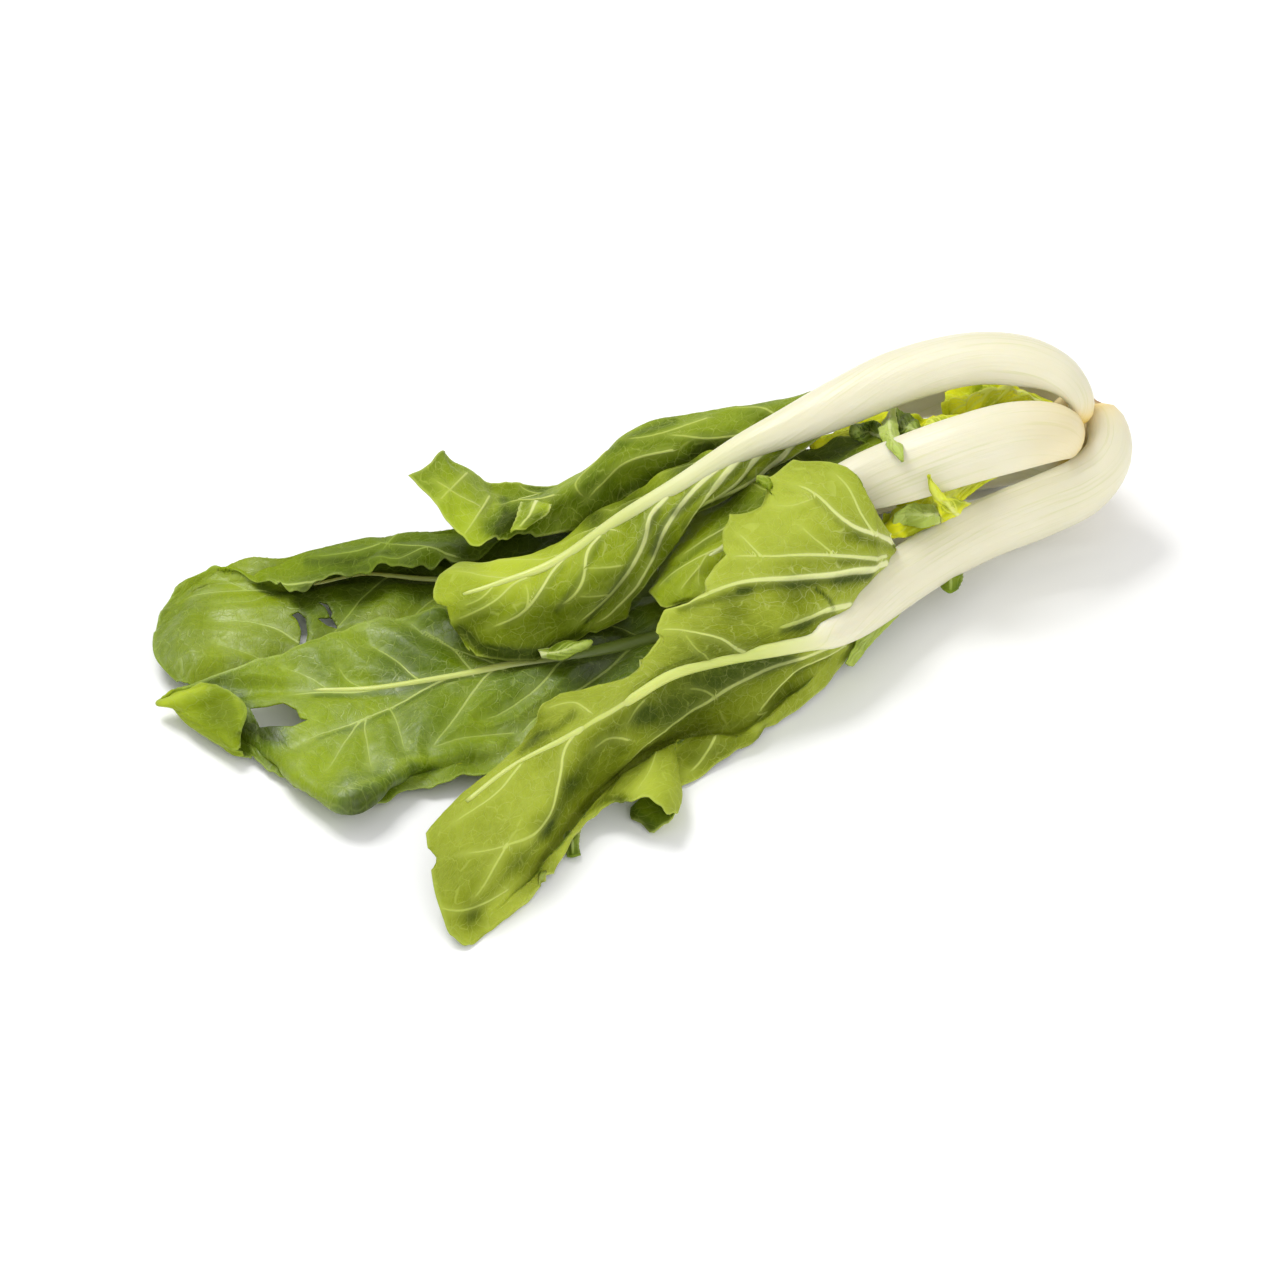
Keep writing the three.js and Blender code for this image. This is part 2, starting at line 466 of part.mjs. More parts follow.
function bladeGrid(shape) {
  const net = shape.rows.map((row) => row.map(seen));
  const last = net.length - 1;
  const places = [0];
  shape.cells.forEach((count, row) => {
    for (let i = 1; i <= count; i++) places.push(row + i / count);
  });
  return places.map((place) => {
    const line = [];
    for (let j = 0; j <= shape.across; j++) {
      line.push(bladePoint(net, shape, place / last, (2 * j) / shape.across - 1));
    }
    return line;
  });
}

// A sheet of even thickness on a grid of points: two faces split alike, and a rim.
function sheetSolid(grid, thickness, wave) {
  const rows = grid.length - 1;
  const columns = grid[0].length - 1;
  const at = (i, j) => grid[THREE.MathUtils.clamp(i, 0, rows)][THREE.MathUtils.clamp(j, 0, columns)];
  const upper = [];
  const lower = [];
  for (let i = 0; i <= rows; i++) {
    for (let j = 0; j <= columns; j++) {
      const lengthways = at(i + 1, j).clone().sub(at(i - 1, j));
      const crossways = at(i, j + 1).clone().sub(at(i, j - 1));
      const normal = lengthways.cross(crossways).normalize();
      const middle = grid[i][j].clone().addScaledVector(normal, wave(i / rows, (2 * j) / columns - 1));
      middle.z = Math.max(middle.z, LEAST_HEIGHT + thickness / 2);
      for (const [side, list] of [[1, upper], [-1, lower]]) {
        const p = middle.clone().addScaledVector(normal, (side * thickness) / 2);
        list.push(p.x, p.y, Math.max(p.z, LEAST_HEIGHT));
      }
    }
  }
  const count = (rows + 1) * (columns + 1);
  const number = (i, j) => i * (columns + 1) + j;
  const triangles = [];
  for (let i = 0; i < rows; i++) {
    for (let j = 0; j < columns; j++) {
      const a = number(i, j);
      const b = number(i, j + 1);
      const c = number(i + 1, j);
      const d = number(i + 1, j + 1);
      triangles.push(a, c, b, b, c, d);
      triangles.push(a + count, b + count, c + count, b + count, d + count, c + count);
    }
  }
  const rim = [];
  for (let j = 0; j < columns; j++) rim.push(number(0, j));
  for (let i = 0; i < rows; i++) rim.push(number(i, columns));
  for (let j = columns; j > 0; j--) rim.push(number(rows, j));
  for (let i = rows; i > 0; i--) rim.push(number(i, 0));
  rim.forEach((a, k) => {
    const b = rim[(k + 1) % rim.length];
    triangles.push(a, b, a + count, b, b + count, a + count);
  });
  return solidOf([...upper, ...lower], triangles);
}

function bladeSolid(name, shape) {
  const last = shape.rows.length - 1;
  const pleats = (u, x) =>
    shape.pleat *
    Math.cos(2 * Math.PI * (u * last - 0.35 * Math.abs(x))) *
    Math.sin(Math.PI * Math.min(1, Math.abs(x) * 1.1)) *
    THREE.MathUtils.smoothstep(u, 0, 0.1);
  let solid = sheetSolid(bladeGrid(shape), BLADE_THICKNESS, pleats);
  for (const hole of HOLES[name] ?? []) solid = solid.subtract(sightPrism(hole));
  return solid.subtract(stalkSolid(STALKS[name], GAP));
}

// A prism along the line of sight, for a hole that is seen straight through.
function sightPrism({ from, to, outline }) {
  const flat = outline.map(([across, up]) => new THREE.Vector2(across, up));
  if (THREE.ShapeUtils.area(flat) < 0) flat.reverse();
  const positions = [];
  for (const height of [from, to]) {
    for (const { x, y } of flat) {
      const p = seen([x, y, height]);
      positions.push(p.x, p.y, p.z);
    }
  }
  const n = flat.length;
  const triangles = [];
  for (let i = 0; i < n; i++) {
    const j = (i + 1) % n;
    triangles.push(i, j, n + i, j, n + j, n + i);
  }
  for (const [a, b, c] of THREE.ShapeUtils.triangulateShape(flat, [])) {
    triangles.push(a, c, b, n + a, n + b, n + c);
  }
  return solidOf(positions, triangles);
}

// A body of round sections about a straight axis, from the cut face to the inner end.
function buttSolid(extra = 0) {
  const start = seen(BUTT.cutFace);
  const end = seen(BUTT.innerEnd);
  const axis = end.clone().sub(start).normalize();
  start.addScaledVector(axis, -extra);
  end.addScaledVector(axis, extra);
  const side = new THREE.Vector3().crossVectors(axis, new THREE.Vector3(0, 0, 1)).normalize();
  const up = new THREE.Vector3().crossVectors(side, axis);
  const rings = BUTT.radii.length;
  const positions = [];
  BUTT.radii.forEach((radius, i) => {
    const centre = start.clone().lerp(end, i / (rings - 1));
    for (let k = 0; k < BUTT.sides; k++) {
      const angle = (2 * Math.PI * k) / BUTT.sides;
      const p = centre
        .clone()
        .addScaledVector(side, (radius + extra) * Math.cos(angle))
        .addScaledVector(up, (radius + extra) * Math.sin(angle));
      positions.push(p.x, p.y, p.z);
    }
  });
  const triangles = [];
  for (let i = 0; i < rings - 1; i++) {
    for (let k = 0; k < BUTT.sides; k++) {
      const a = i * BUTT.sides + k;
      const b = i * BUTT.sides + ((k + 1) % BUTT.sides);
      triangles.push(a, a + BUTT.sides, b, b, a + BUTT.sides, b + BUTT.sides);
    }
  }
  const last = (rings - 1) * BUTT.sides;
  for (let k = 1; k < BUTT.sides - 1; k++) {
    triangles.push(0, k, k + 1);
    triangles.push(last, last + k + 1, last + k);
  }
  return solidOf(positions, triangles);
}

function heartSolid(rows) {
  const net = rows.map((row) => row.map(seen));
  const grid = [];
  for (let i = 0; i <= 12; i++) {
    const line = [];
    for (let j = 0; j <= 6; j++) {
      const rowPoints = net.map((row) => along(row, j / 3));
      line.push(along(rowPoints, (i * (net.length - 1)) / 12));
    }
    grid.push(line);
  }
  const ripple = (u, x) => 1.2 * Math.sin(14 * u + 2 * x) * Math.abs(x) * u;
  return sheetSolid(grid, BLADE_THICKNESS, ripple);
}

// The part

const materials = {
  stalk: new THREE.MeshStandardMaterial({ color: 0xe6e3c8, roughness: 0.45 }),
  underside: new THREE.MeshStandardMaterial({ color: 0x93a83a, roughness: 0.55 }),
  topside: new THREE.MeshStandardMaterial({ color: 0x5f8a1c, roughness: 0.4 }),
  heart: new THREE.MeshStandardMaterial({ color: 0x9fbf1e, roughness: 0.45 }),
  butt: new THREE.MeshStandardMaterial({ color: 0xd9c79a, roughness: 0.7 }),
};

const bokChoy = new THREE.Group();

// The main body of a solid, without crumbs that a cut may leave.
function largest(solid) {
  return solid.decompose().sort((a, b) => b.volume() - a.volume())[0];
}

function addPiece(name, solid, material) {
  const mesh = new THREE.Mesh(geometryOf(solid), material);
  mesh.name = name;
  bokChoy.add(mesh);
}

// Each stalk makes room for the butt and for the stalks already placed.
const placed = [buttSolid(GAP)];
addPiece("butt", buttSolid(), materials.butt);
for (const [name, rows] of Object.entries(STALKS)) {
  let solid = stalkSolid(rows);
  for (const other of placed) solid = solid.subtract(other);
  placed.push(stalkSolid(rows, GAP));
  addPiece(`stalk_${name}`, largest(solid), materials.stalk);
}

for (const [name, shape] of Object.entries(BLADES)) {
  const face = name.startsWith("lower") ? materials.topside : materials.underside;
  addPiece(`blade_${name}`, largest(bladeSolid(name, shape)), face);
}

for (const [name, rows] of Object.entries(HEART_LEAVES)) {
  let solid = heartSolid(rows);
  for (const other of placed) solid = solid.subtract(other);
  addPiece(`heart_leaf_${name}`, largest(solid), materials.heart);
}

export default bokChoy;
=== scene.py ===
# %% [markdown]
# # A head of bok choy on a white table
# The object is one loose head of bok choy that lies on its side. Six thick white stalks leave a
# short butt on the right, and each one carries a thin, crinkled green blade to the left. The
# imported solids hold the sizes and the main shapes. This script puts a finer skin in their
# place, with veins, folds and ribs, and gives every piece its finish.

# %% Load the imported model
import math

import bpy
import numpy as np
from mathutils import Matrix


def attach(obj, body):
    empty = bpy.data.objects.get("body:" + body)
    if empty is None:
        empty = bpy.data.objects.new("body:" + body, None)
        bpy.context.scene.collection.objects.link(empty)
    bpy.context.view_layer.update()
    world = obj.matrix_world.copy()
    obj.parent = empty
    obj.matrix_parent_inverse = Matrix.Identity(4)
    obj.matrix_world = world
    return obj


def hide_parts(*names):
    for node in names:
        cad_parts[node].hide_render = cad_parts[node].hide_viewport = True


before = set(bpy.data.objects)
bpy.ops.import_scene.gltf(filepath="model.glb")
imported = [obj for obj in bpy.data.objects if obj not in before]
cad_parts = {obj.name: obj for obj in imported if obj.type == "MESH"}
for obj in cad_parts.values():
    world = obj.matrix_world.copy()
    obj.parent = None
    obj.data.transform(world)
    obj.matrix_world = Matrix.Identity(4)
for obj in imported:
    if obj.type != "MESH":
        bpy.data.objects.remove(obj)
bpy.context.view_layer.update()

MM = 0.001
print("solids:", sorted(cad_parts))

# %% [markdown]
# ## Looking at the head
# Leaves are hard to place by x, y and z, because what one sees is where an edge or a vein lies
# in the picture. So each point is given as the eye sees it: how far across, how far up the
# view, and how high above the table, all in millimetres at the real size. `seen` turns the
# three into x, y and z, and `as_seen` goes back. The camera stands at the same eye.

# %% The eye, and points as it sees them
LOOKING_DOWN = math.radians(40)
EYE_DISTANCE = 1600.0
HEAD_CENTRE = np.array([2.3, -21.7, 0.0])
EYE = EYE_DISTANCE * np.array([0.0, -math.cos(LOOKING_DOWN), math.sin(LOOKING_DOWN)])
VIEW_UP = np.array([0.0, math.sin(LOOKING_DOWN), math.cos(LOOKING_DOWN)])
VIEW_AHEAD = np.array([0.0, math.cos(LOOKING_DOWN), -math.sin(LOOKING_DOWN)])


def seen(points):
    """Points of the model, in mm, from (across, up, height).

    The point (across, up) of the view plane and the eye make a line of sight, and the point
    of the model is where that line is at the given height.
    """
    points = np.asarray(points, float)
    on_screen = points[..., :1] * np.array([1.0, 0.0, 0.0]) + points[..., 1:2] * VIEW_UP
    share = (points[..., 2:3] - EYE[2]) / (on_screen[..., 2:3] - EYE[2])
    return EYE + share * (on_screen - EYE) - HEAD_CENTRE


def as_seen(points):
    """(across, up, distance ahead of the eye) of points of the model, in mm."""
    from_eye = points + HEAD_CENTRE - EYE
    ahead = from_eye @ VIEW_AHEAD
    scale = EYE_DISTANCE / ahead
    return np.stack([from_eye[..., 0] * scale, (from_eye @ VIEW_UP) * scale, ahead], -1)


def unit(vectors):
    """Vectors made one long."""
    return vectors / np.maximum(np.linalg.norm(vectors, axis=-1, keepdims=True), 1e-9)


def ease(low, high, values):
    """0 below low, 1 above high, and 3 t2 - 2 t3 in between."""
    t = np.clip((values - low) / (high - low), 0, 1)
    return t * t * (3 - 2 * t)


# %% The camera
SENSOR = 36.0
VIEW_WIDTH = 384.0

camera_data = bpy.data.cameras.new("camera")
camera_data.sensor_width = SENSOR
camera_data.lens = SENSOR * EYE_DISTANCE / VIEW_WIDTH
camera_data.clip_start = 0.05
camera_data.clip_end = 20
camera = bpy.data.objects.new("camera", camera_data)
camera.location = (EYE - HEAD_CENTRE) * MM
camera.rotation_euler = (math.pi / 2 - LOOKING_DOWN, 0, 0)
bpy.context.scene.collection.objects.link(camera)
bpy.context.scene.camera = camera
print("lens", round(camera_data.lens, 1), "mm, camera at", tuple(round(v, 3) for v in camera.location))

# %% [markdown]
# ## Curves and sheets through a few points
# A leaf is a loose cloth of points: rows across it, from the stalk to the tip. A smooth
# surface has to go through them. A subdivision surface would pull away from its points, and a
# NURBS patch too, so the surface here is a Catmull-Rom blend, which passes through each point.
# It is worked out as weights, so that one product of matrices gives all the vertices at once.


# %% Weights of a smooth curve through points
def catmull(places, count):
    """Weights of `count` points for the smooth curve through them, at each place.

    A place runs from 0 at the first point to count - 1 at the last. At share t between points
    i and i + 1, the points i - 1 to i + 2 weigh half of -t3 + 2 t2 - t, 3 t3 - 5 t2 + 2,
    -3 t3 + 4 t2 + t and t3 - t2. A missing neighbour past an end is twice the end point less
    the one before it.
    """
    places = np.clip(np.asarray(places, float), 0, count - 1)
    start = np.minimum(places.astype(int), count - 2)
    t = places - start
    four = 0.5 * np.stack(
        [-(t**3) + 2 * t**2 - t, 3 * t**3 - 5 * t**2 + 2, -3 * t**3 + 4 * t**2 + t, t**3 - t**2], -1
    )
    wide = np.zeros(places.shape + (count + 2,))
    np.put_along_axis(wide, start[..., None] + np.arange(4), four, -1)
    weights = wide[..., 1:-1].copy()
    weights[..., 0] += 2 * wide[..., 0]
    weights[..., 1] -= wide[..., 0]
    weights[..., -1] += 2 * wide[..., -1]
    weights[..., -2] -= wide[..., -1]
    return weights


def even_places(net, count, axis):
    """`count` places along an axis of a net of points, evenly far apart on the average."""
    steps = np.linalg.norm(np.diff(net, axis=axis), axis=-1).mean(axis=1 - axis)
    reach = np.concatenate([[0], np.cumsum(steps)])
    return np.interp(np.linspace(0, reach[-1], count), reach, np.arange(len(reach)))


def waves(points, wavelength, seed, count=7):
    """Smooth noise of about -1 to 1: a mean of sine waves in random directions.

    Each wave is sin(k . p + phase), with k of length 2 pi over a wavelength near the given one.
    """
    draw = np.random.default_rng(seed)
    turn = draw.normal(size=(count, points.shape[-1]))
    turn = unit(turn) * 2 * math.pi / (wavelength * draw.uniform(0.7, 1.5, (count, 1)))
    phase = draw.uniform(0, 2 * math.pi, count)
    return np.sin(points @ turn.T + phase).sum(-1) / math.sqrt(count)


def cells(points, size, seed):
    """How much nearer a point is to its own cell's seed than to the next one, in rounded cells.

    The seeds stand on a square grid of the given size, each moved by a random step. For each
    point only the seeds of the nine grid squares round it are measured.
    """
    grid = np.floor(points / size).astype(int)
    low = grid.reshape(-1, 2).min(0) - 1
    spread = grid.reshape(-1, 2).max(0) - low + 2
    jitter = np.random.default_rng(seed).uniform(0.12, 0.88, (spread[0], spread[1], 2))
    found = []
    for across in (-1, 0, 1):
        for along in (-1, 0, 1):
            square = grid + np.array([across, along])
            place = square - low
            seeds = (square + jitter[place[..., 0], place[..., 1]]) * size
            found.append(np.linalg.norm(points - seeds, axis=-1))
    found = np.sort(np.stack(found), axis=0)
    return found[1] - found[0]


print("weights at 1.5 of 4 points:", catmull(1.5, 4).round(4))

# %% [markdown]
# ## From arrays to a mesh
# Each piece ends as one array of points and one of four-cornered faces. `foreach_set` hands
# whole arrays to Blender, which is far quicker than adding vertices one by one. What a finish
# needs to know about a place, such as how near it is to a vein, goes along as an attribute.


# %% Making a piece
def make_piece(name, points, quads, attributes, material, node, triangles=None):
    """A mesh object at the origin from points in mm, which stands for the named solid."""
    triangles = np.zeros((0, 3), int) if triangles is None else triangles
    corners = np.concatenate([quads.ravel(), triangles.ravel()]).astype(np.int32)
    starts = np.concatenate([
        4 * np.arange(len(quads)),
        4 * len(quads) + 3 * np.arange(len(triangles)),
    ]).astype(np.int32)
    mesh = bpy.data.meshes.new(name)
    mesh.vertices.add(len(points))
    mesh.vertices.foreach_set("co", (points * MM).astype(np.float32).ravel())
    mesh.loops.add(len(corners))
    mesh.loops.foreach_set("vertex_index", corners)
    mesh.polygons.add(len(starts))
    mesh.polygons.foreach_set("loop_start", starts)
    mesh.update(calc_edges=True)
    mesh.polygons.foreach_set("use_smooth", np.ones(len(starts), bool))
    for label, values in attributes.items():
        kind = ("FLOAT_VECTOR", "vector") if values.ndim == 2 else ("FLOAT", "value")
        layer = mesh.attributes.new(label, kind[0], "POINT")
        layer.data.foreach_set(kind[1], values.astype(np.float32).ravel())
    mesh.materials.append(material)
    piece = bpy.data.objects.new(name, mesh)
    bpy.context.scene.collection.objects.link(piece)
    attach(piece, "root")
    if node:
        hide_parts(node)
    print(name, len(points), "points,", 2 * len(quads) + len(triangles), "triangles")
    return piece


# %% [markdown]
# ## Finishes
# A leaf has two faces. The upper one is dark, waxy and green, with its veins sunk in. The lower
# one is paler and duller, and its veins stand out. The finish reads the attributes of the mesh
# for the veins, the margin and the face, and adds a net of hair-fine veins and mottled colour
# from procedural textures. The shared effects are node groups, so every leaf has its own values.


# %% Helpers for node trees
def rgb(red, green, blue):
    """A colour given as 0 to 255 on a screen, as the linear values that a shader works with."""
    screen = np.array([red, green, blue]) / 255
    linear = np.where(screen > 0.04045, ((screen + 0.055) / 1.055) ** 2.4, screen / 12.92)
    return (*[float(v) for v in linear], 1.0)


def new_group(name, inputs, outputs):
    """A shader node group with named sockets, and its input and output nodes."""
    group = bpy.data.node_groups.new(name, "ShaderNodeTree")
    for label, (kind, value) in inputs.items():
        socket = group.interface.new_socket(label, in_out="INPUT", socket_type=kind)
        if value is not None:
            socket.default_value = value
    for label, kind in outputs.items():
        group.interface.new_socket(label, in_out="OUTPUT", socket_type=kind)
    return group, group.nodes.new("NodeGroupInput"), group.nodes.new("NodeGroupOutput")


def math_node(tree, operation, first, second=None, third=None, clamp=False):
    """A Math node; each input is a socket or a number."""
    node = tree.nodes.new("ShaderNodeMath")
    node.operation = operation
    node.use_clamp = clamp
    for place, value in enumerate((first, second, third)):
        if value is None:
            continue
        if isinstance(value, (int, float)):
            node.inputs[place].default_value = value
        else:
            tree.links.new(value, node.inputs[place])
    return node.outputs[0]


def mix_colour(tree, share, first, second, kind="MIX"):
    """A colour Mix node; each input is a socket, a number or a colour."""
    node = tree.nodes.new("ShaderNodeMix")
    node.data_type = "RGBA"
    node.blend_type = kind
    for place, value in ((0, share), (6, first), (7, second)):
        if isinstance(value, (int, float, tuple)):
            node.inputs[place].default_value = value
        else:
            tree.links.new(value, node.inputs[place])
    return node.outputs[2]


def map_range(tree, value, low, high, out_low=0.0, out_high=1.0):
    """A smooth step of value from low to high, onto out_low to out_high."""
    node = tree.nodes.new("ShaderNodeMapRange")
    node.interpolation_type = "SMOOTHSTEP"
    tree.links.new(value, node.inputs["Value"])
    for label, number in (("From Min", low), ("From Max", high), ("To Min", out_low), ("To Max", out_high)):
        if isinstance(number, (int, float)):
            node.inputs[label].default_value = number
        else:
            tree.links.new(number, node.inputs[label])
    return node.outputs["Result"]


def noise(tree, vector, scale, detail=3.0, roughness=0.55):
    """The value of a Noise texture at a vector."""
    node = tree.nodes.new("ShaderNodeTexNoise")
    node.inputs["Scale"].default_value = scale
    node.inputs["Detail"].default_value = detail
    node.inputs["Roughness"].default_value = roughness
    tree.links.new(vector, node.inputs["Vector"])
    return node.outputs["Fac"]


def attribute(tree, name, output="Fac"):
    """The value, or with output "Vector" the vector, of an attribute of the mesh."""
    node = tree.nodes.new("ShaderNodeAttribute")
    node.attribute_name = name
    return node.outputs[output]


# %% The net of hair-fine veins, as a group
NUMBER = "NodeSocketFloat"
COLOUR = "NodeSocketColor"
VECTOR = "NodeSocketVector"


def make_net_group():
    """Thin lines between the cells of a Voronoi pattern, bent a little by noise."""
    group, into, out = new_group(
        "vein net",
        {"Vector": (VECTOR, None), "Cells per mm": (NUMBER, 0.3), "Width": (NUMBER, 0.1)},
        {"Lines": NUMBER},
    )
    bend = group.nodes.new("ShaderNodeTexNoise")
    bend.inputs["Scale"].default_value = 0.35
    bend.inputs["Detail"].default_value = 1
    group.links.new(into.outputs["Vector"], bend.inputs["Vector"])
    shift = group.nodes.new("ShaderNodeVectorMath")
    shift.operation = "MULTIPLY_ADD"
    shift.inputs[1].default_value = (2.4, 2.4, 0)
    group.links.new(bend.outputs["Color"], shift.inputs[0])
    group.links.new(into.outputs["Vector"], shift.inputs[2])
    cell = group.nodes.new("ShaderNodeTexVoronoi")
    cell.feature = "DISTANCE_TO_EDGE"
    group.links.new(shift.outputs[0], cell.inputs["Vector"])
    group.links.new(into.outputs["Cells per mm"], cell.inputs["Scale"])
    lines = map_range(group, cell.outputs["Distance"], 0.0, into.outputs["Width"], 1.0, 0.0)
    group.links.new(lines, out.inputs["Lines"])
    return group


net_group = make_net_group()
print("group:", net_group.name)

# %% The skin of a leaf, as a group
LEAF_INPUTS = {
    "Place": (VECTOR, None),
    "Vein side": (NUMBER, 4),
    "Vein width": (NUMBER, 0.5),
    "White": (NUMBER, 0),
    "Net": (NUMBER, 0),
    "Margin": (NUMBER, 0),
    "Underside": (NUMBER, 0),
    # 0 to 1 goes from dark to light; it holds the leaf's own mottling and painted light and shade
    "Tone": (NUMBER, 0.5),
    "Top dark": (COLOUR, rgb(80, 102, 4)),
    "Top light": (COLOUR, rgb(134, 154, 24)),
    "Under dark": (COLOUR, rgb(118, 132, 16)),
    "Under light": (COLOUR, rgb(170, 184, 50)),
    # the colour of painted shade, which a tone below 0 goes towards
    "Deep": (COLOUR, rgb(54, 68, 2)),
    "Vein colour": (COLOUR, rgb(182, 194, 90)),
    "Pale colour": (COLOUR, rgb(220, 222, 170)),
}


def make_leaf_group():
    """Colour, roughness and fine height of a leaf from its attributes.

    A vein is full where the distance to it is under 0.28 of its width, and gone from 0.42 of
    its width and 0.22 mm more. That distance is signed, so it passes through 0 at the vein and
    the line stays crisp between two vertices. A tone of 0 to 1 goes from dark to light, and one
    below 0 goes on to the shading colour, which is painted shade; the veins take on part of that
    painted shade too.
    """
    group, into, out = new_group(
        "leaf skin", LEAF_INPUTS, {"Colour": COLOUR, "Roughness": NUMBER, "Height": NUMBER}
    )
    place = into.outputs["Place"]
    patches = noise(group, place, 0.05, 3)
    speckle = noise(group, place, 0.6, 4, 0.65)
    patch_change = math_node(group, "MULTIPLY_ADD", patches, 0.8, -0.4)
    speckle_change = math_node(group, "MULTIPLY_ADD", speckle, 0.36, -0.18)
    tone = math_node(group, "ADD", into.outputs["Tone"], patch_change)
    tone = math_node(group, "ADD", tone, speckle_change)
    light = math_node(group, "ADD", tone, 0.0, clamp=True)
    top = mix_colour(group, light, into.outputs["Top dark"], into.outputs["Top light"])
    under = mix_colour(group, light, into.outputs["Under dark"], into.outputs["Under light"])
    colour = mix_colour(group, into.outputs["Underside"], top, under)
    # painted shade: a tone below 0 turns the colour towards the shading colour
    shade = math_node(group, "MULTIPLY", tone, -1.0, clamp=True)
    colour = mix_colour(group, shade, colour, into.outputs["Deep"])
    coarse = group.nodes.new("ShaderNodeGroup")
    coarse.node_tree = net_group
    coarse.inputs["Cells per mm"].default_value = 0.24
    coarse.inputs["Width"].default_value = 0.045
    fine = group.nodes.new("ShaderNodeGroup")
    fine.node_tree = net_group
    fine.inputs["Cells per mm"].default_value = 0.75
    fine.inputs["Width"].default_value = 0.08
    for node in (coarse, fine):
        group.links.new(place, node.inputs["Vector"])
    fine_lines = math_node(group, "MULTIPLY", fine.outputs["Lines"], 0.4)
    lines = math_node(group, "MAXIMUM", coarse.outputs["Lines"], fine_lines)
    quilt = math_node(group, "MULTIPLY", into.outputs["Net"], 0.2)
    lines = math_node(group, "MAXIMUM", math_node(group, "MULTIPLY", lines, 0.32), quilt)
    vein_colour = mix_colour(
        group, into.outputs["White"], into.outputs["Vein colour"], into.outputs["Pale colour"])
    # painted shade on the veins too, at 0.6 of its strength
    vein_shade = math_node(group, "MULTIPLY", shade, 0.6)
    shaded_vein = mix_colour(group, vein_shade, vein_colour, into.outputs["Deep"])
    off = math_node(group, "ABSOLUTE", into.outputs["Vein side"])
    width = into.outputs["Vein width"]
    full = math_node(group, "MULTIPLY", width, 0.28)
    gone = math_node(group, "MULTIPLY_ADD", width, 0.42, 0.22)
    vein = map_range(group, off, full, gone, 1.0, 0.0)
    vein = math_node(group, "MULTIPLY", vein, map_range(group, width, 0.0, 0.8, 0.0, 0.95))
    halo = math_node(group, "MULTIPLY", map_range(group, off, 0.2, 2.6, 1.0, 0.0), 0.2)
    lines = math_node(group, "MAXIMUM", lines, halo)
    colour = mix_colour(group, lines, colour, shaded_vein)
    colour = mix_colour(group, vein, colour, shaded_vein)
    margin = math_node(group, "MULTIPLY", into.outputs["Margin"], 0.5)
    colour = mix_colour(group, margin, colour, shaded_vein)
    rough = math_node(group, "MULTIPLY_ADD", into.outputs["Underside"], 0.1, 0.42)
    rough = math_node(group, "ADD", rough, math_node(group, "MULTIPLY_ADD", speckle, 0.16, -0.08))
    rise = math_node(group, "MULTIPLY_ADD", into.outputs["Underside"], 2.0, -1.0)
    height = math_node(group, "MULTIPLY", math_node(group, "MAXIMUM", lines, vein), rise)
    height = math_node(group, "MULTIPLY_ADD", speckle, 0.5, height)
    group.links.new(colour, out.inputs["Colour"])
    group.links.new(rough, out.inputs["Roughness"])
    group.links.new(height, out.inputs["Height"])
    return group


leaf_group = make_leaf_group()
print("group:", leaf_group.name, "with", len(LEAF_INPUTS), "inputs")


# %% A leaf's own material
def principled(name, subsurface, radius, scale):
    """A material with its Principled node, set up for moist plant tissue that lets light in."""
    material = bpy.data.materials.new(name)
    material.use_nodes = True
    shader = material.node_tree.nodes["Principled BSDF"]
    shader.inputs["Subsurface Weight"].default_value = subsurface
    shader.inputs["Subsurface Radius"].default_value = radius
    shader.inputs["Subsurface Scale"].default_value = scale
    return material, material.node_tree, shader


def add_bump(tree, shader, height, strength, distance):
    """A Bump node between a height and the shader's normal; distance is in metres."""
    bump = tree.nodes.new("ShaderNodeBump")
    bump.inputs["Strength"].default_value = strength
    bump.inputs["Distance"].default_value = distance
    tree.links.new(height, bump.inputs["Height"])
    tree.links.new(bump.outputs["Normal"], shader.inputs["Normal"])


def leaf_material(name, **colours):
    """A leaf finish; colours are the group's own inputs, with _ for a space.

    The upper face has a waxy gloss in patches, and the lower face hardly any.
    """
    material, tree, shader = principled(name, 0.25, (0.7, 1.0, 0.1), 0.001)
    skin = tree.nodes.new("ShaderNodeGroup")
    skin.node_tree = leaf_group
    for label, value in colours.items():
        skin.inputs[label.replace("_", " ")].default_value = value
    tree.links.new(attribute(tree, "place", "Vector"), skin.inputs["Place"])
    for label in ("Vein side", "Vein width", "White", "Net", "Margin", "Underside", "Tone"):
        tree.links.new(attribute(tree, label.lower().replace(" ", "_")), skin.inputs[label])
    tree.links.new(skin.outputs["Colour"], shader.inputs["Base Color"])
    tree.links.new(skin.outputs["Roughness"], shader.inputs["Roughness"])
    patches = noise(tree, attribute(tree, "place", "Vector"), 0.07, 3)
    gloss = map_range(tree, patches, 0.42, 0.66, 0.12, 0.55)
    matt = map_range(tree, attribute(tree, "underside"), 0, 1, 1.0, 0.0)
    shine = math_node(tree, "MULTIPLY_ADD", gloss, matt, 0.08)
    tree.links.new(shine, shader.inputs["Specular IOR Level"])
    add_bump(tree, shader, skin.outputs["Height"], 0.8, 0.0003)
    return material


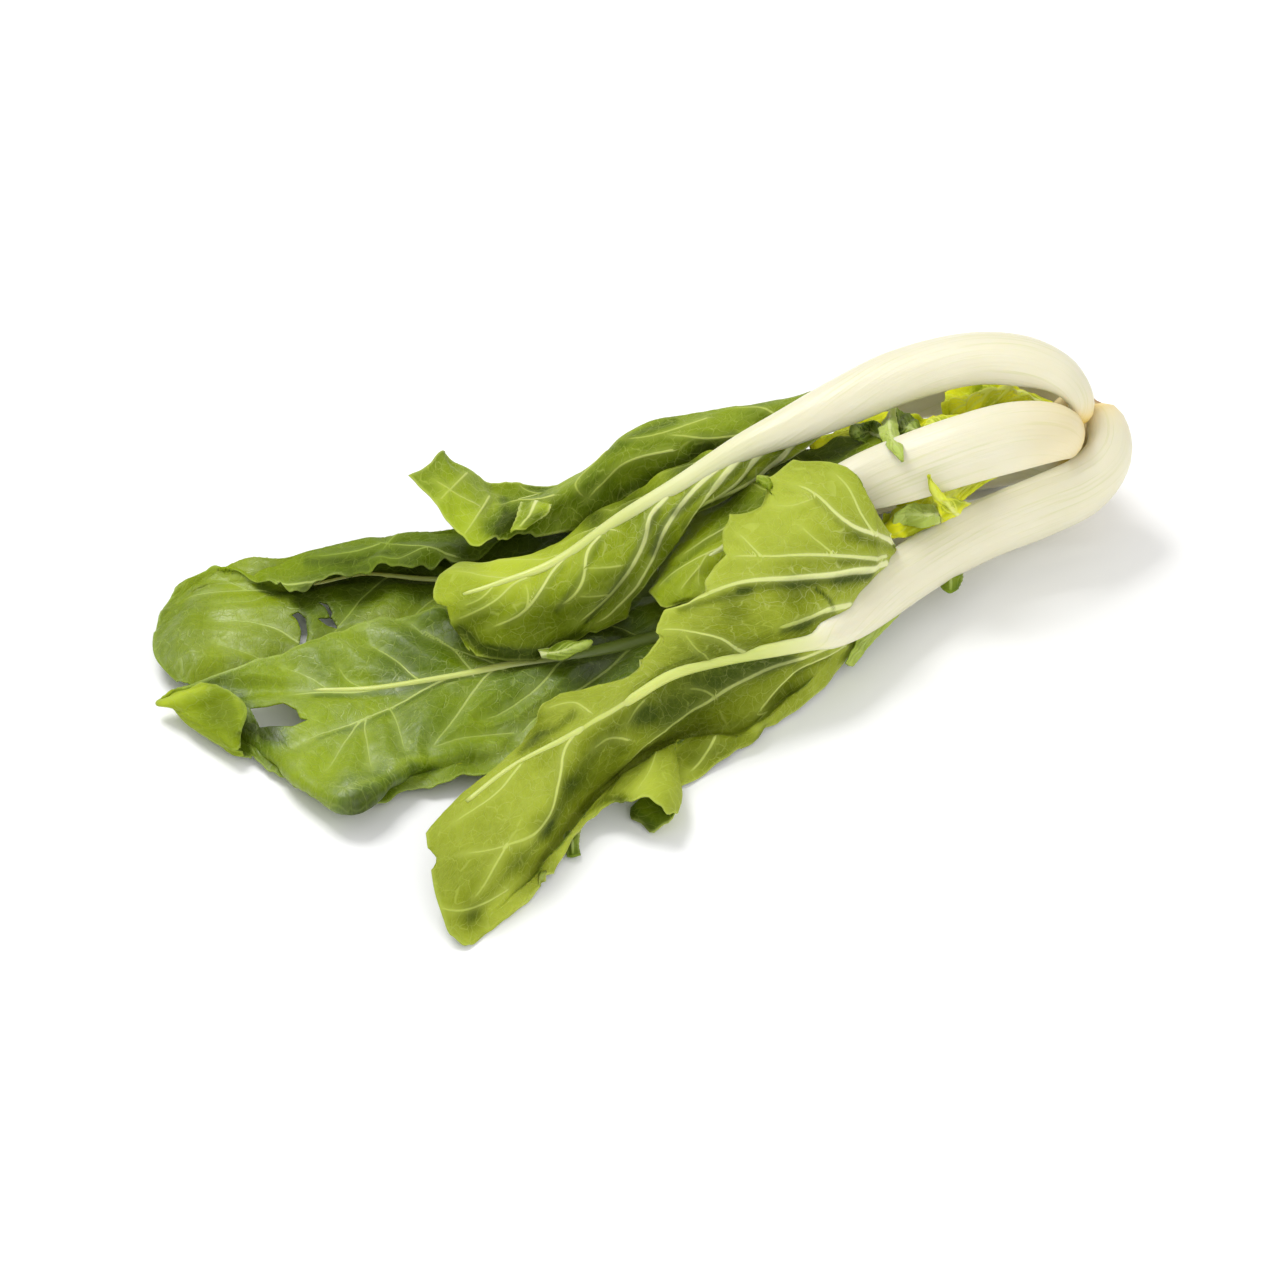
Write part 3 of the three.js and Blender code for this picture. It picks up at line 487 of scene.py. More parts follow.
LEAF_FINISHES = {
    "upper": leaf_material("blade upper", Under_dark=rgb(112, 128, 8), Under_light=rgb(168, 182, 46)),
    "middle": leaf_material("blade middle", Under_dark=rgb(108, 126, 4), Under_light=rgb(154, 170, 20)),
    "front": leaf_material("blade front", Under_dark=rgb(114, 126, 18), Under_light=rgb(168, 180, 60)),
    "back": leaf_material("blade back", Under_dark=rgb(88, 108, 2), Under_light=rgb(152, 170, 34)),
    "lower_back": leaf_material(
        "blade lower back", Top_dark=rgb(84, 104, 0), Top_light=rgb(144, 162, 14),
        Under_dark=rgb(84, 104, 2), Under_light=rgb(130, 150, 14), Vein_colour=rgb(150, 170, 62)),
    "lower_front": leaf_material(
        "blade lower front", Top_dark=rgb(84, 106, 0), Top_light=rgb(146, 166, 20),
        Under_dark=rgb(116, 134, 12), Under_light=rgb(164, 180, 40), Vein_colour=rgb(160, 178, 78)),
}
heart_finish = leaf_material(
    "heart leaf", Top_dark=rgb(120, 140, 0), Top_light=rgb(222, 224, 14),
    Under_dark=rgb(136, 150, 0), Under_light=rgb(226, 226, 20), Deep=rgb(52, 74, 0),
    Vein_colour=rgb(206, 214, 60),
)
young_finish = leaf_material(
    "young leaf", Top_dark=rgb(60, 86, 4), Top_light=rgb(120, 142, 14),
    Under_dark=rgb(150, 168, 56), Under_light=rgb(178, 192, 100), Vein_colour=rgb(160, 180, 76),
)
print("leaf finishes:", len(LEAF_FINISHES) + 2)


# %% [markdown]
# ## The finish of the stalks
# A fresh stalk is creamy white, wet and a little clear, so light goes in and comes out again
# near by. Fine strings run along it. It turns yellow at the butt and green where the blade
# starts; the yellow is partly painted shade of the creases where the stalks meet. All three
# follow the stalk's own length, so the mesh carries the place along and round it, and the
# material stretches its noise along that.


# %% The stalk material
def stalk_material():
    """Creamy white with fine lengthwise strings, yellow at the base, green in the blade, and
    deep green where the mesh says that it is dim. The yellow is partly the stalk's own and
    partly painted shade of the creases where the stalks meet; the deep green is painted shade
    on a midrib that lies in shadow."""
    material, tree, shader = principled("stalk flesh", 0.5, (1.0, 0.8, 0.45), 0.004)
    stretch = tree.nodes.new("ShaderNodeMapping")
    stretch.inputs["Scale"].default_value = (0.02, 1.0, 1.0)
    tree.links.new(attribute(tree, "place", "Vector"), stretch.inputs["Vector"])
    strings = noise(tree, stretch.outputs["Vector"], 1.3, 4, 0.6)
    cloud = noise(tree, attribute(tree, "place", "Vector"), 0.06, 2)
    cream = mix_colour(tree, cloud, rgb(214, 209, 178), rgb(222, 218, 196))
    cream = mix_colour(tree, map_range(tree, strings, 0.52, 0.75), cream, rgb(206, 205, 162))
    # yellow at the base: partly the stalk's own, partly painted shade in the creases where stalks meet
    yellow = mix_colour(tree, attribute(tree, "base"), cream, rgb(226, 192, 84))
    rib = mix_colour(tree, cloud, rgb(178, 190, 88), rgb(200, 208, 118))
    colour = mix_colour(tree, attribute(tree, "tail"), yellow, rib)
    # painted shade: the dim part of a rib is deep green
    colour = mix_colour(tree, attribute(tree, "dim"), colour, rgb(84, 106, 12))
    tree.links.new(colour, shader.inputs["Base Color"])
    tree.links.new(map_range(tree, strings, 0.3, 0.8, 0.34, 0.46), shader.inputs["Roughness"])
    add_bump(tree, shader, strings, 0.35, 0.0005)
    return material


stalk_finish = stalk_material()
print("material:", stalk_finish.name)

# %% [markdown]
# ## The stalks
# A bok choy stalk is a broad, thick rib: round on its outer face and a little hollow inside. It
# narrows at the neck and runs on through the blade as the midrib. A profile carried along a
# path gives exactly that. Each row below is one station: across, up, height, width, thickness,
# and the way that the outer face looks.

# %% The stalks' stations
STALKS = {
    "upper": [
        [131, 64.5, 39, 11, 8, 0.5, 0.3, 0.8],
        [131, 72.5, 47, 15, 8, 0.8, 0.1, 0.6],
        [125.5, 79.5, 54.5, 18, 9, 0.5, 0, 0.9],
        [114, 83.5, 58, 20, 10, 0.1, -0.1, 1],
        [98, 84, 58, 20, 10, 0, -0.15, 1],
        [78, 79, 55, 19, 9.5, 0, -0.25, 1],
        [60, 71, 50.5, 16, 9, 0, -0.4, 1],
        [45, 64, 47, 12.5, 7.5, 0, -0.5, 1],
        [30, 57.3, 44, 8.6, 5.6, 0, -0.5, 1],
        [12, 46.8, 41, 5.6, 4, 0, -0.5, 1],
        [-5, 36.8, 38, 4.4, 3.2, 0, -0.5, 1],
        [-25, 23.5, 34.5, 3, 2.4, 0, -0.5, 1],
        [-42, 17, 31, 2, 1.9, 0, -0.5, 1],
        [-53, 13.5, 28.5, 1.5, 1.5, 0, -0.5, 1],
    ],
    "middle": [
        [131, 61, 39, 13, 7, 0.5, -0.6, 0.5],
        [124, 62.5, 48, 18, 9, 0.3, -0.7, 0.8],
        [112, 61, 51.5, 21, 10, 0, -0.7, 0.75],
        [97, 57, 50.5, 21, 10, 0, -0.7, 0.75],
        [80, 51.5, 46, 20, 9, 0, -0.7, 0.75],
        [65, 46.5, 40, 17, 7, 0, -0.65, 0.8],
        [48, 39, 35, 11, 5, 0, -0.6, 0.85],
        [30, 30, 30.5, 4, 3, 0, -0.6, 0.85],
        [18, 23, 27.3, 2, 1.8, 0, -0.6, 0.85],
    ],
    "front": [
        [134.5, 69, 36, 13, 9.5, 0.6, 0.2, 0.5],
        [139, 63.5, 34, 17, 12, 0.9, -0.1, 0.4],
        [139.5, 55, 30, 19, 12.5, 0.9, -0.5, 0.3],
        [133, 46.5, 24.5, 20.5, 11.5, 0.5, -0.9, 0.2],
        [120, 40, 20.5, 20.5, 10.5, 0.2, -1, 0.25],
        [104, 33.5, 18.5, 19.5, 10, 0, -1, 0.3],
        [88, 25, 18, 18.5, 9.5, 0, -1, 0.35],
        [74, 15.5, 19, 18, 8.5, 0, -1, 0.4],
        [64, 7.5, 21, 14.5, 7.5, 0, -0.9, 0.5],
        [56.5, 1.8, 22.8, 9.5, 6, 0, -0.8, 0.6],
        [52, -0.6, 23.6, 5, 4.2, 0, -0.8, 0.6],
        [42, -2.6, 24.6, 4.4, 3.6, 0, -0.8, 0.6],
        [26, -5.8, 26, 3.6, 3.2, 0, -0.7, 0.7],
        [10, -10.3, 26.5, 3.2, 2.8, 0, -0.6, 0.8],
        [-3, -18, 26, 2.8, 2.5, 0, -0.5, 0.9],
        [-20, -28.5, 24, 2.4, 2.2, 0, -0.5, 0.9],
        [-38, -38, 21.5, 1.9, 1.8, 0, -0.5, 0.9],
        [-52, -48.5, 18.5, 1.5, 1.5, 0, -0.5, 0.9],
    ],
    "back": [
        [133, 66, 33, 12, 7, 0.3, 0.9, -0.2],
        [127, 73, 31, 17, 8, 0.2, 1, -0.1],
        [113, 76, 30, 20, 9, 0, 1, 0],
        [96, 75, 30, 20, 9, 0, 1, 0.1],
        [78, 71.5, 31, 17, 8, 0, 1, 0.2],
        [60, 66.5, 31, 12, 7, 0, 0.9, 0.4],
        [42, 63.5, 29, 7, 5.5, 0, 0.7, 0.7],
        [22, 60.5, 25, 4.5, 4, 0, 0.5, 0.9],
        [0, 53.5, 21, 3.6, 3.2, 0, 0.4, 0.9],
        [-20, 45.5, 18.5, 2.8, 2.6, 0, 0.4, 0.9],
        [-38, 41, 18.5, 2, 2, 0, 0.4, 0.9],
    ],
    "lower_back": [
        [132, 57, 24, 12, 7, 0.2, 0.5, -0.9],
        [124, 56, 14, 16, 8, 0.1, 0.5, -0.9],
        [110, 54.5, 8, 18, 9, 0, 0.4, -0.9],
        [92, 50.5, 4.2, 18, 9, 0, 0.2, -1],
        [72, 44.5, 4, 17, 8.5, 0, 0, -1],
        [50, 37, 3.6, 13, 7.5, 0, 0, -1],
        [28, 30, 4, 9, 6, 0, 0, -1],
        [5, 25, 5, 6, 5, 0, 0, -1],
        [-20, 20.5, 5, 4.5, 4, 0, 0, -1],
        [-45, 17.5, 5, 3, 2.8, 0, 0, -1],
        [-64, 18, 4.6, 2.2, 2.2, 0, 0, -1],
        [-82, 19.5, 4.6, 1.7, 1.7, 0, 0, -1],
        [-98, 16.5, 4.8, 1.4, 1.4, 0, 0, -1],
    ],
    "lower_front": [
        [132, 52, 25, 12, 7, 0.3, -0.5, -0.8],
        [126, 46, 16, 15, 8, 0.2, -0.5, -0.9],
        [113, 41, 9, 18, 9, 0, -0.3, -1],
        [95, 33, 4.3, 18, 9, 0, -0.1, -1],
        [76, 24.5, 4, 16, 8.5, 0, 0, -1],
        [55, 15.5, 3.7, 13, 7.5, 0, 0, -1],
        [34, 8.5, 7, 9, 6, 0, 0, -1],
        [12, 2.5, 9, 6.5, 5, 0, 0, -1],
        [-12, -3.5, 9.5, 5, 4, 0, 0, -1],
        [-40, -8, 9.5, 3.2, 2.8, 0, 0, -1],
        [-58, -11.5, 9, 2.6, 2.4, 0, 0, -1],
        [-80, -14.5, 8, 2, 1.9, 0, 0, -1],
        [-98, -15.2, 7, 1.5, 1.5, 0, 0, -1],
    ],
}

# How far from the butt each stalk is yellow, in mm, the ring where all are more so, and the
# stations between which its white turns green. The yellow is partly the stalks' own and partly
# painted shade of the creases where the stalk bases meet.
BASE_RING = 9
BASE_REACH = {"upper": 14, "middle": 42, "front": 16, "back": 50, "lower_back": 20, "lower_front": 20}
NECKS = {"upper": (6.5, 11.5), "middle": (5.2, 8), "front": (8.6, 12), "back": (4.5, 8),
         "lower_back": (5, 8), "lower_front": (4.5, 7)}

# Painted shade: between which two of its stations a midrib turns as deep green as the leaf
# round it, where it lies in shadow.
PAINTED_RIB_SHADE = {"lower_front": (5.5, 8.6)}


# %% Carrying the profile along
STALK_SIDES = 64
STALK_STATIONS = 110
HOLLOW = 0.16  # how deep the inner face is, as a share of the width
NOSE = 0.35  # how long the rounded ends are, as a share of the width
GIRTH = 2.4  # the way round, as a share of the width
SWELL = 0.15  # mm
RIB_HEIGHT = 0.05  # mm
RIBS = 17


def stalk(name):
    """A stalk's surface over station (down the array) and angle round it (across the array).

    At angle A the profile is at x = cos A * width / 2 and y = sin A * thickness / 2, moved
    outwards by a bow of hollow * (1/2 - 2 x2 / width2), which makes the inner face hollow and
    the outer face full. Fine ribs run along it. The ends close in a round nose.
    """
    rows = np.array(STALKS[name], float)
    places = even_places(seen(rows[:, None, :3]), STALK_STATIONS, 0)
    weights = catmull(places, len(rows))
    centres = weights @ seen(rows[:, :3])
    width, thickness = (weights @ rows[:, 3:5]).T
    forward = unit(np.gradient(centres, axis=0))
    out = weights @ unit(rows[:, 5:8])
    out = unit(out - (out * forward).sum(-1, keepdims=True) * forward)
    side = np.cross(forward, out)
    along = np.concatenate([[0], np.cumsum(np.linalg.norm(np.diff(centres, axis=0), axis=-1))])
    to_end = np.minimum(along, along[-1] - along) + 0.3
    nose = np.sqrt(np.clip(to_end / (NOSE * width), 0.02, 1))
    angle = np.linspace(0, 2 * math.pi, STALK_SIDES, endpoint=False)
    x = np.cos(angle) * (width / 2 * nose)[:, None]
    hollow = HOLLOW * width * ease(4, 16, width)
    bow = hollow[:, None] * (0.5 - 2 * x**2 / width[:, None] ** 2)
    swell = SWELL * waves(np.stack([along / 3, along * 0], -1), 9, 5)
    turn = 0.6 * np.sin(along / 30)[:, None]
    ribs = RIB_HEIGHT * np.cos(RIBS * angle + turn) * ease(3, 12, width)[:, None]
    y = np.sin(angle) * (((thickness / 2 + swell) * nose)[:, None] + ribs) + bow
    points = centres[:, None] + side[:, None] * x[..., None] + out[:, None] * y[..., None]
    points[..., 2] = np.maximum(points[..., 2], 0)
    return points, places, along, angle, width


def tube_faces(stations, sides):
    """Four-cornered faces of a tube, and the three-cornered ones that close its two ends."""
    i, k = np.meshgrid(np.arange(stations - 1), np.arange(sides), indexing="ij")
    a = i * sides + k
    b = i * sides + (k + 1) % sides
    quads = np.stack([a, a + sides, b + sides, b], -1).reshape(-1, 4)
    k = np.arange(sides)
    last = (stations - 1) * sides
    start_pole, end_pole = stations * sides, stations * sides + 1
    first = np.stack([k, (k + 1) % sides, np.full(sides, start_pole)], -1)
    second = np.stack([last + (k + 1) % sides, last + k, np.full(sides, end_pole)], -1)
    return quads, np.concatenate([first, second])


def with_poles(values):
    """The values of a tube's vertices, ring after ring, and then those of its two poles."""
    return np.concatenate([values.reshape(-1), [values[0].mean(), values[-1].mean()]])


def make_stalk(name):
    """The piece for one stalk, with its place along and round, its base, tail and dim part of painted shade.
    """
    points, places, along, angle, width = stalk(name)
    round_it = angle / (2 * math.pi) * width[:, None] * GIRTH
    along_it = np.broadcast_to(along[:, None], round_it.shape)
    place = np.stack([along_it, round_it, np.full(round_it.shape, len(name))], -1)
    # base: the stalk's own yellowing near the butt, which also paints the shade of the creases between
    # stalks
    base = 0.65 * ease(BASE_RING, 0, along) + 0.35 * ease(BASE_REACH[name], 0, along)
    tail = ease(*NECKS[name], places)
    # dim: painted shade where a midrib lies in shadow
    dim_from, dim_to = PAINTED_RIB_SHADE.get(name, (-2, -1))
    dim = 0.85 * ease(dim_from - 0.5, dim_from + 0.5, places) * ease(dim_to + 0.5, dim_to - 0.5, places)
    poles = np.stack([points[0].mean(0), points[-1].mean(0)])
    place = np.concatenate([place.reshape(-1, 3), place[0, :1], place[-1, :1]])
    spread = np.ones(STALK_SIDES)
    points = np.concatenate([points.reshape(-1, 3), poles])
    quads, triangles = tube_faces(STALK_STATIONS, STALK_SIDES)
    attributes = {
        "place": place,
        "base": with_poles(base[:, None] * spread),
        "tail": with_poles(tail[:, None] * spread),
        "dim": with_poles(dim[:, None] * spread),
    }
    return make_piece(
        f"{name}_stalk", points, quads, attributes, stalk_finish, f"stalk_{name}", triangles)


stalk_pieces = [make_stalk(name) for name in STALKS]

# %% [markdown]
# ## The blades
# Each blade is a net of rows across the leaf, from its far edge to its near edge. `rib` is the
# column where the midrib runs. `lobes` is the number of rounded lobes along the margin, `up`
# tells which way the array's own normal looks, and `size` is the number of vertices down the
# leaf and across it. `under_up` is true for a leaf that shows its back. The rows are points
# placed so that the edges and folds lie where they are seen on the real head.

# %% The blades' nets
BLADES = {
    "upper": {
        "rib": 3, "lobes": 9, "up": 1, "size": (205, 180), "under_up": True,
        "rows": [
            [[56, 74, 47.5], [55, 73, 48.5], [53, 70.5, 49], [51, 67, 48.2], [52, 63.5, 44.5],
             [54, 63, 41.5], [57, 62.5, 40]],
            [[33, 63.5, 40], [32, 63, 42], [31, 61, 43.5], [31, 57.5, 44.2], [32, 53, 41], [32, 50, 37],
             [32, 47, 33]],
            [[16, 55.5, 33.5], [15, 52.8, 38], [14, 50.5, 40.8], [13, 47.2, 41.2], [15, 40, 38.5],
             [14, 35, 34], [12.5, 30.5, 29]],
            [[0, 46.8, 27], [-1, 43.2, 34], [-2, 41, 37.5], [-4, 37.2, 38.2], [-2, 28, 35], [-1, 20, 29],
             [0, 13.5, 22]],
            [[-15, 38.5, 24], [-16, 34.3, 31], [-17, 32, 34.8], [-18, 28, 36], [-15, 18, 32.5],
             [-12, 9, 24], [-15, 1.5, 15]],
            [[-29, 26.5, 21], [-30, 27.8, 27], [-31, 26, 31.5], [-32, 20.3, 33], [-30, 12, 29.5],
             [-28, 4, 22], [-27, -4, 14]],
            [[-42, 22, 20], [-43, 24.3, 25], [-44, 22.3, 28.5], [-45, 16, 30.3], [-44, 9, 27.5],
             [-43, 2, 21.5], [-40.5, -7, 14]],
            [[-52, 22.5, 22], [-54, 24, 24.5], [-56, 20, 27], [-55.5, 13.3, 28], [-54.5, 9, 26.5],
             [-53, 4, 22.5], [-50.5, -4.5, 16]],
            [[-59, 21, 24], [-60, 20, 25.5], [-61.5, 17, 26.5], [-62, 13, 26.3], [-61, 11, 26],
             [-59, 7, 24], [-57, 4, 21.5]],
        ],
    },
    "middle": {
        "rib": 2, "lobes": 6, "up": 1, "size": (125, 90), "under_up": True,
        "rows": [
            [[80, 61.5, 44.5], [75, 56, 45], [70, 48.5, 41.5], [71, 43, 36], [72, 40, 33]],
            [[63, 62, 39], [61, 53.5, 42.5], [56, 43.5, 37.3], [56, 36, 33], [56, 31, 29]],
            [[44, 57, 32], [43, 46.5, 38.5], [40, 35.5, 32.8], [42, 27, 29], [43, 22, 26]],
            [[26, 47, 26], [26, 38, 33], [24, 26.5, 29.3], [28, 20, 27], [30, 16, 24.5]],
            [[10.5, 31, 21.5], [11, 26, 26.5], [11, 19, 26], [14, 14, 25], [17, 12, 23.5]],
            [[2, 16, 20], [2.5, 14.5, 21.8], [4, 13, 22.3], [6, 10.5, 23], [8, 9.5, 22.5]],
        ],
    },
    "front": {
        "rib": 3, "lobes": 11, "up": 1, "size": (290, 160), "under_up": True,
        "rows": [
            [[70, 33, 35], [76, 29, 31], [77, 27, 26], [82, 21.5, 18.5], [83, 18.5, 14], [82, 17, 11],
             [81.5, 16, 9.5], [81, 15.5, 8.5], [81, 15, 7]],
            [[65, 49.8, 48.5], [69.8, 41, 45], [72, 31, 38], [74, 15.5, 19], [74, 12, 14], [72, 9.5, 9.5],
             [70.5, 7, 8], [69.7, 5, 7], [69, 3, 6]],
            [[47, 55, 49], [60, 44, 47], [70, 26, 36], [66, 9.5, 20], [65.5, 5, 15], [64, 2.5, 10],
             [63, 0, 7.5], [62, -3.2, 6.2], [61.2, -6.6, 4.6]],
            [[36, 48, 45], [50, 36, 44], [62, 19, 34], [57, 2.5, 22], [57, -2, 16], [55.5, -6, 9.5],
             [54.5, -9.5, 6.8], [53.5, -13, 4.8], [52.3, -16.6, 2.6]],
            [[26, 38, 40], [40, 24, 39], [52, 10, 30], [44, -2.3, 24.5], [45, -8, 17], [44, -15, 6],
             [43.4, -18.4, 6.5], [42.8, -21.8, 4.5], [42.2, -25.2, 1.5]],
            [[19.5, 16, 32], [31, 12, 33], [41, 4.5, 30], [29, -5.4, 26], [31, -13, 17], [33, -24, 4.2],
             [32, -27.3, 7], [31.5, -30, 4.5], [31, -33.2, 0.9]],
            [[11, 9.8, 29.5], [18, 7, 30.5], [27, 0.5, 30], [18, -7.8, 26.5], [21, -17, 17], [22, -27, 3],
             [21, -29, 7], [20, -34.5, 4.6], [20, -40.5, 0.9]],
            [[6, 5, 28.5], [12, 3, 29.5], [20, -2, 29.6], [12, -9.6, 26.5], [15, -19, 17], [17, -28, 3],
             [14.5, -29.2, 7.6], [4, -43.5, 2.2], [-5, -53.5, 0.9]],
            [[3, 1, 27.8], [7, -0.5, 29], [15, -4.5, 29.3], [8, -11, 26.4], [11.5, -21.5, 17],
             [13.5, -29.5, 3.2], [12.5, -29.6, 8.4], [9.5, -45, 2.6], [4.5, -58.3, 0.9]],
            [[0.5, -2.5, 27.2], [4, -3, 28.6], [11, -6.5, 28.9], [5, -12.3, 26.2], [9, -23.5, 17],
             [10.5, -31, 3.4], [10.8, -30, 9.6], [13.4, -42.5, 7.4], [13.4, -53.5, 6.5]],
            [[-1, -5.5, 26.6], [1, -5, 28], [7, -8.5, 28.3], [2, -14, 26], [6, -26, 17], [7, -33, 3.6],
             [7.5, -31.8, 10.6], [8.5, -42.5, 13.4], [7, -50.5, 13.6]],
            [[-3.5, -9, 25.9], [-2, -8, 27.4], [3, -10, 27.8], [-2, -16.5, 26], [1, -29.5, 17],
             [0.5, -36, 4], [0, -37.3, 10.4], [-1.5, -43, 12.8], [-3, -48.3, 12.4]],
            [[-8, -12, 25.2], [-6, -11, 26.8], [-2, -12, 27.3], [-5.5, -19.8, 26], [-3.5, -32.5, 17],
             [-5, -39.5, 5], [-7.5, -42, 9.4], [-8.5, -46, 10], [-9, -49.6, 8.6]],
            [[-17, -15.5, 24], [-14, -15, 26], [-9, -15.5, 27], [-12, -24.5, 25.5], [-10, -36, 17],
             [-12, -46, 5], [-13.5, -47.5, 8.5], [-14, -50.5, 8], [-14.5, -54.5, 5.5]],
            [[-26, -20, 23], [-22, -19.5, 25], [-18, -20.5, 26], [-18, -27.5, 24.5], [-17, -40, 17],
             [-19, -54, 4], [-20.5, -56, 7.5], [-20.5, -60, 6], [-21, -65, 2.5]],
            [[-35, -27, 19], [-33, -27, 22], [-31, -28, 23.5], [-29, -33.5, 23], [-25, -47, 19],
             [-27, -63, 4], [-28.5, -65.5, 5.5], [-28, -69.5, 4], [-27.5, -74, 0.9]],
            [[-44, -36, 15], [-43, -36, 19], [-42, -36.5, 21], [-41, -40.5, 21], [-35, -58, 18],
             [-37, -73, 5], [-36.5, -75.5, 4], [-34, -77.5, 2.8], [-31.5, -79.5, 0.45]],
            [[-55, -46, 12], [-55, -46, 16], [-54, -46.5, 18], [-53, -49.5, 18], [-47, -69, 15],
             [-46, -81, 6], [-45, -83, 4], [-42, -84.5, 2.5], [-39, -85.5, 0.45]],
            [[-63, -57, 12], [-64, -57, 13], [-64, -58, 14], [-64, -60, 14], [-62, -74, 12], [-58, -86, 6],
             [-55, -89, 4], [-52, -91.5, 2], [-49, -91.5, 0.45]],
        ],
    },
    "back": {
        "rib": 1, "lobes": 7, "up": 1, "size": (220, 110), "under_up": True,
        "rows": [
            [[60, 68, 24], [58, 66, 31], [57, 71, 35], [57, 76, 39], [55, 73, 42.5], [54, 69, 41]],
            [[41, 66, 21], [41, 63, 28.5], [41, 68, 32], [40, 72.5, 37], [38, 69, 39.5], [35.5, 58.5, 34]],
            [[22, 62, 19], [22, 60, 24.5], [22, 65, 29], [21, 69.5, 35], [19, 62, 36.5], [15.5, 50, 26.5]],
            [[0, 57, 16], [0, 53.5, 20.5], [1, 60, 26], [1, 65.8, 33], [-2, 57, 33.5], [-3, 44.5, 22.5]],
            [[-15, 50, 15], [-16, 47.5, 18], [-14, 52, 22], [-13, 54.8, 28.5], [-16, 48, 30],
             [-17, 36.5, 19.5]],
            [[-30, 46.8, 17], [-30, 42.5, 19], [-28, 45, 21], [-26, 45.8, 24], [-29, 41, 26],
             [-32, 30.5, 20]],
            [[-38, 47, 18.5], [-39, 41.5, 20.5], [-38, 42, 23], [-36.5, 41.5, 26], [-38, 37, 28],
             [-40, 30, 26]],
            [[-44, 47, 21], [-44, 42.5, 24], [-44, 40, 26], [-43.5, 37, 28], [-43.5, 34, 29],
             [-44, 30.5, 28.5]],
            [[-47, 49, 25], [-48, 43, 28], [-48.5, 38.5, 30], [-48.5, 35, 30.5], [-49, 32, 30.5],
             [-50, 28.7, 30]],
            [[-52, 53, 30], [-53.5, 48, 32], [-54.5, 43, 33], [-55.5, 39, 33], [-56, 36, 32.5],
             [-56.5, 34, 32]],
            [[-56, 55.5, 32], [-57.5, 52, 34], [-59, 48.5, 35], [-60.5, 46, 35], [-61.5, 44, 34.5],
             [-63, 42, 34]],
            [[-58, 57.5, 33], [-60, 56.5, 34.5], [-63, 54, 35.5], [-65.5, 52, 36], [-67.5, 51, 36],
             [-69.5, 50, 36]],
        ],
    },
    "lower_back": {
        "rib": 2, "lobes": 8, "up": -1, "size": (240, 145), "under_up": False,
        "rows": [
            [[9, 7, 3.6], [6, 16, 4.6], [5, 25, 5.5], [5, 34, 6.5], [5, 41, 7], [5, 48, 8]],
            [[-20, 2.5, 3.2], [-20, 12, 4.4], [-20, 20.5, 5.5], [-20, 30, 6.5], [-20, 38, 8],
             [-20, 43, 9]],
            [[-48, 1, 3], [-48, 9, 4.2], [-48, 17.5, 5], [-48, 26, 6], [-50, 34.8, 11], [-50, 24, 13.5]],
            [[-68, -3, 3], [-68, 8, 4.4], [-68, 18.5, 4.6], [-68, 24, 5.5], [-70, 33, 13],
             [-69, 21.5, 15.5]],
            [[-86, -8, 3], [-86, 7, 4.8], [-86, 19.3, 4.8], [-86, 23, 6], [-88, 30.5, 13],
             [-86, 19.5, 15]],
            [[-103, -10, 3], [-103, 4, 5.4], [-103, 15.5, 4.8], [-103, 20, 6.5], [-105, 26, 12],
             [-103, 14, 13]],
            [[-118, -13, 3], [-118, 2, 6], [-118, 15, 5.2], [-118, 19, 6.5], [-117.5, 24.5, 9],
             [-113, 17.5, 10.5]],
            [[-130, -15, 2.5], [-132, -2, 6], [-132, 13.5, 5.5], [-131, 16.5, 6], [-130, 19, 6.5],
             [-127, 22, 7]],
            [[-138, -14.5, 2.5], [-145.5, -6, 5], [-145, 4, 5], [-143, 9, 5], [-140.5, 13, 5],
             [-137, 15.5, 5]],
        ],
    },
    "lower_front": {
        "rib": 2, "lobes": 9, "up": 1, "size": (250, 155), "under_up": False,
        "rows": [
            [[20, 12, 9], [19, 9, 9.5], [14, 3, 9.5], [12, -2, 9], [11, -7, 8], [10, -10, 6.5],
             [9, -12, 5]],
            [[-5, 12, 11], [-6, 6, 11], [-10, -3, 10], [-12, -10, 9], [-14, -16, 7], [-14, -19, 5],
             [-15, -22, 4]],
            [[-32, 11, 11], [-32, 3, 11], [-34, -7.5, 10], [-36, -18, 9], [-36, -28, 7], [-35, -34, 4.5],
             [-35, -38, 3]],
            [[-57, 8, 11], [-57, -2, 11], [-57, -11.5, 9.5], [-57, -22, 9], [-56, -33, 8], [-55, -38, 4.5],
             [-54, -43, 3]],
            [[-76, 6, 10.5], [-75, -4, 10], [-75, -14, 8.5], [-73, -25, 8.5], [-70, -37.5, 8.5],
             [-70, -41, 3.6], [-67, -46.5, 0.45]],
            [[-93, 0, 9.5], [-92, -7, 9], [-92, -15.2, 7.5], [-90, -27, 8.5], [-86, -48.5, 9.5],
             [-86, -44, 3.4], [-84, -52, 0.45]],
            [[-106, -4.5, 9], [-106, -10, 8], [-106, -15.8, 7], [-104, -28, 7.5], [-99, -44, 8],
             [-100, -41, 3], [-99, -48, 0.45]],
            [[-118, -8.5, 8.5], [-118, -12, 7.5], [-118, -16, 6.5], [-116, -24, 5], [-112, -33, 4],
             [-110, -35, 2.4], [-109, -41.5, 0.45]],
            [[-132, -12.5, 8], [-132, -14, 7.2], [-132, -17, 6], [-128, -22, 4], [-124, -27, 3],
             [-119, -31, 2], [-116, -37, 0.45]],
            [[-138, -14.2, 7], [-141, -15.5, 6], [-145, -19, 4.5], [-140, -22.5, 4], [-135, -27, 3.5],
             [-128, -31, 3], [-119, -36.5, 2]],
            [[-136, -14, 9], [-138, -15, 9], [-139, -18, 9], [-137, -20.5, 9], [-132, -25, 9],
             [-127, -29, 7.5], [-119.5, -34.5, 5]],
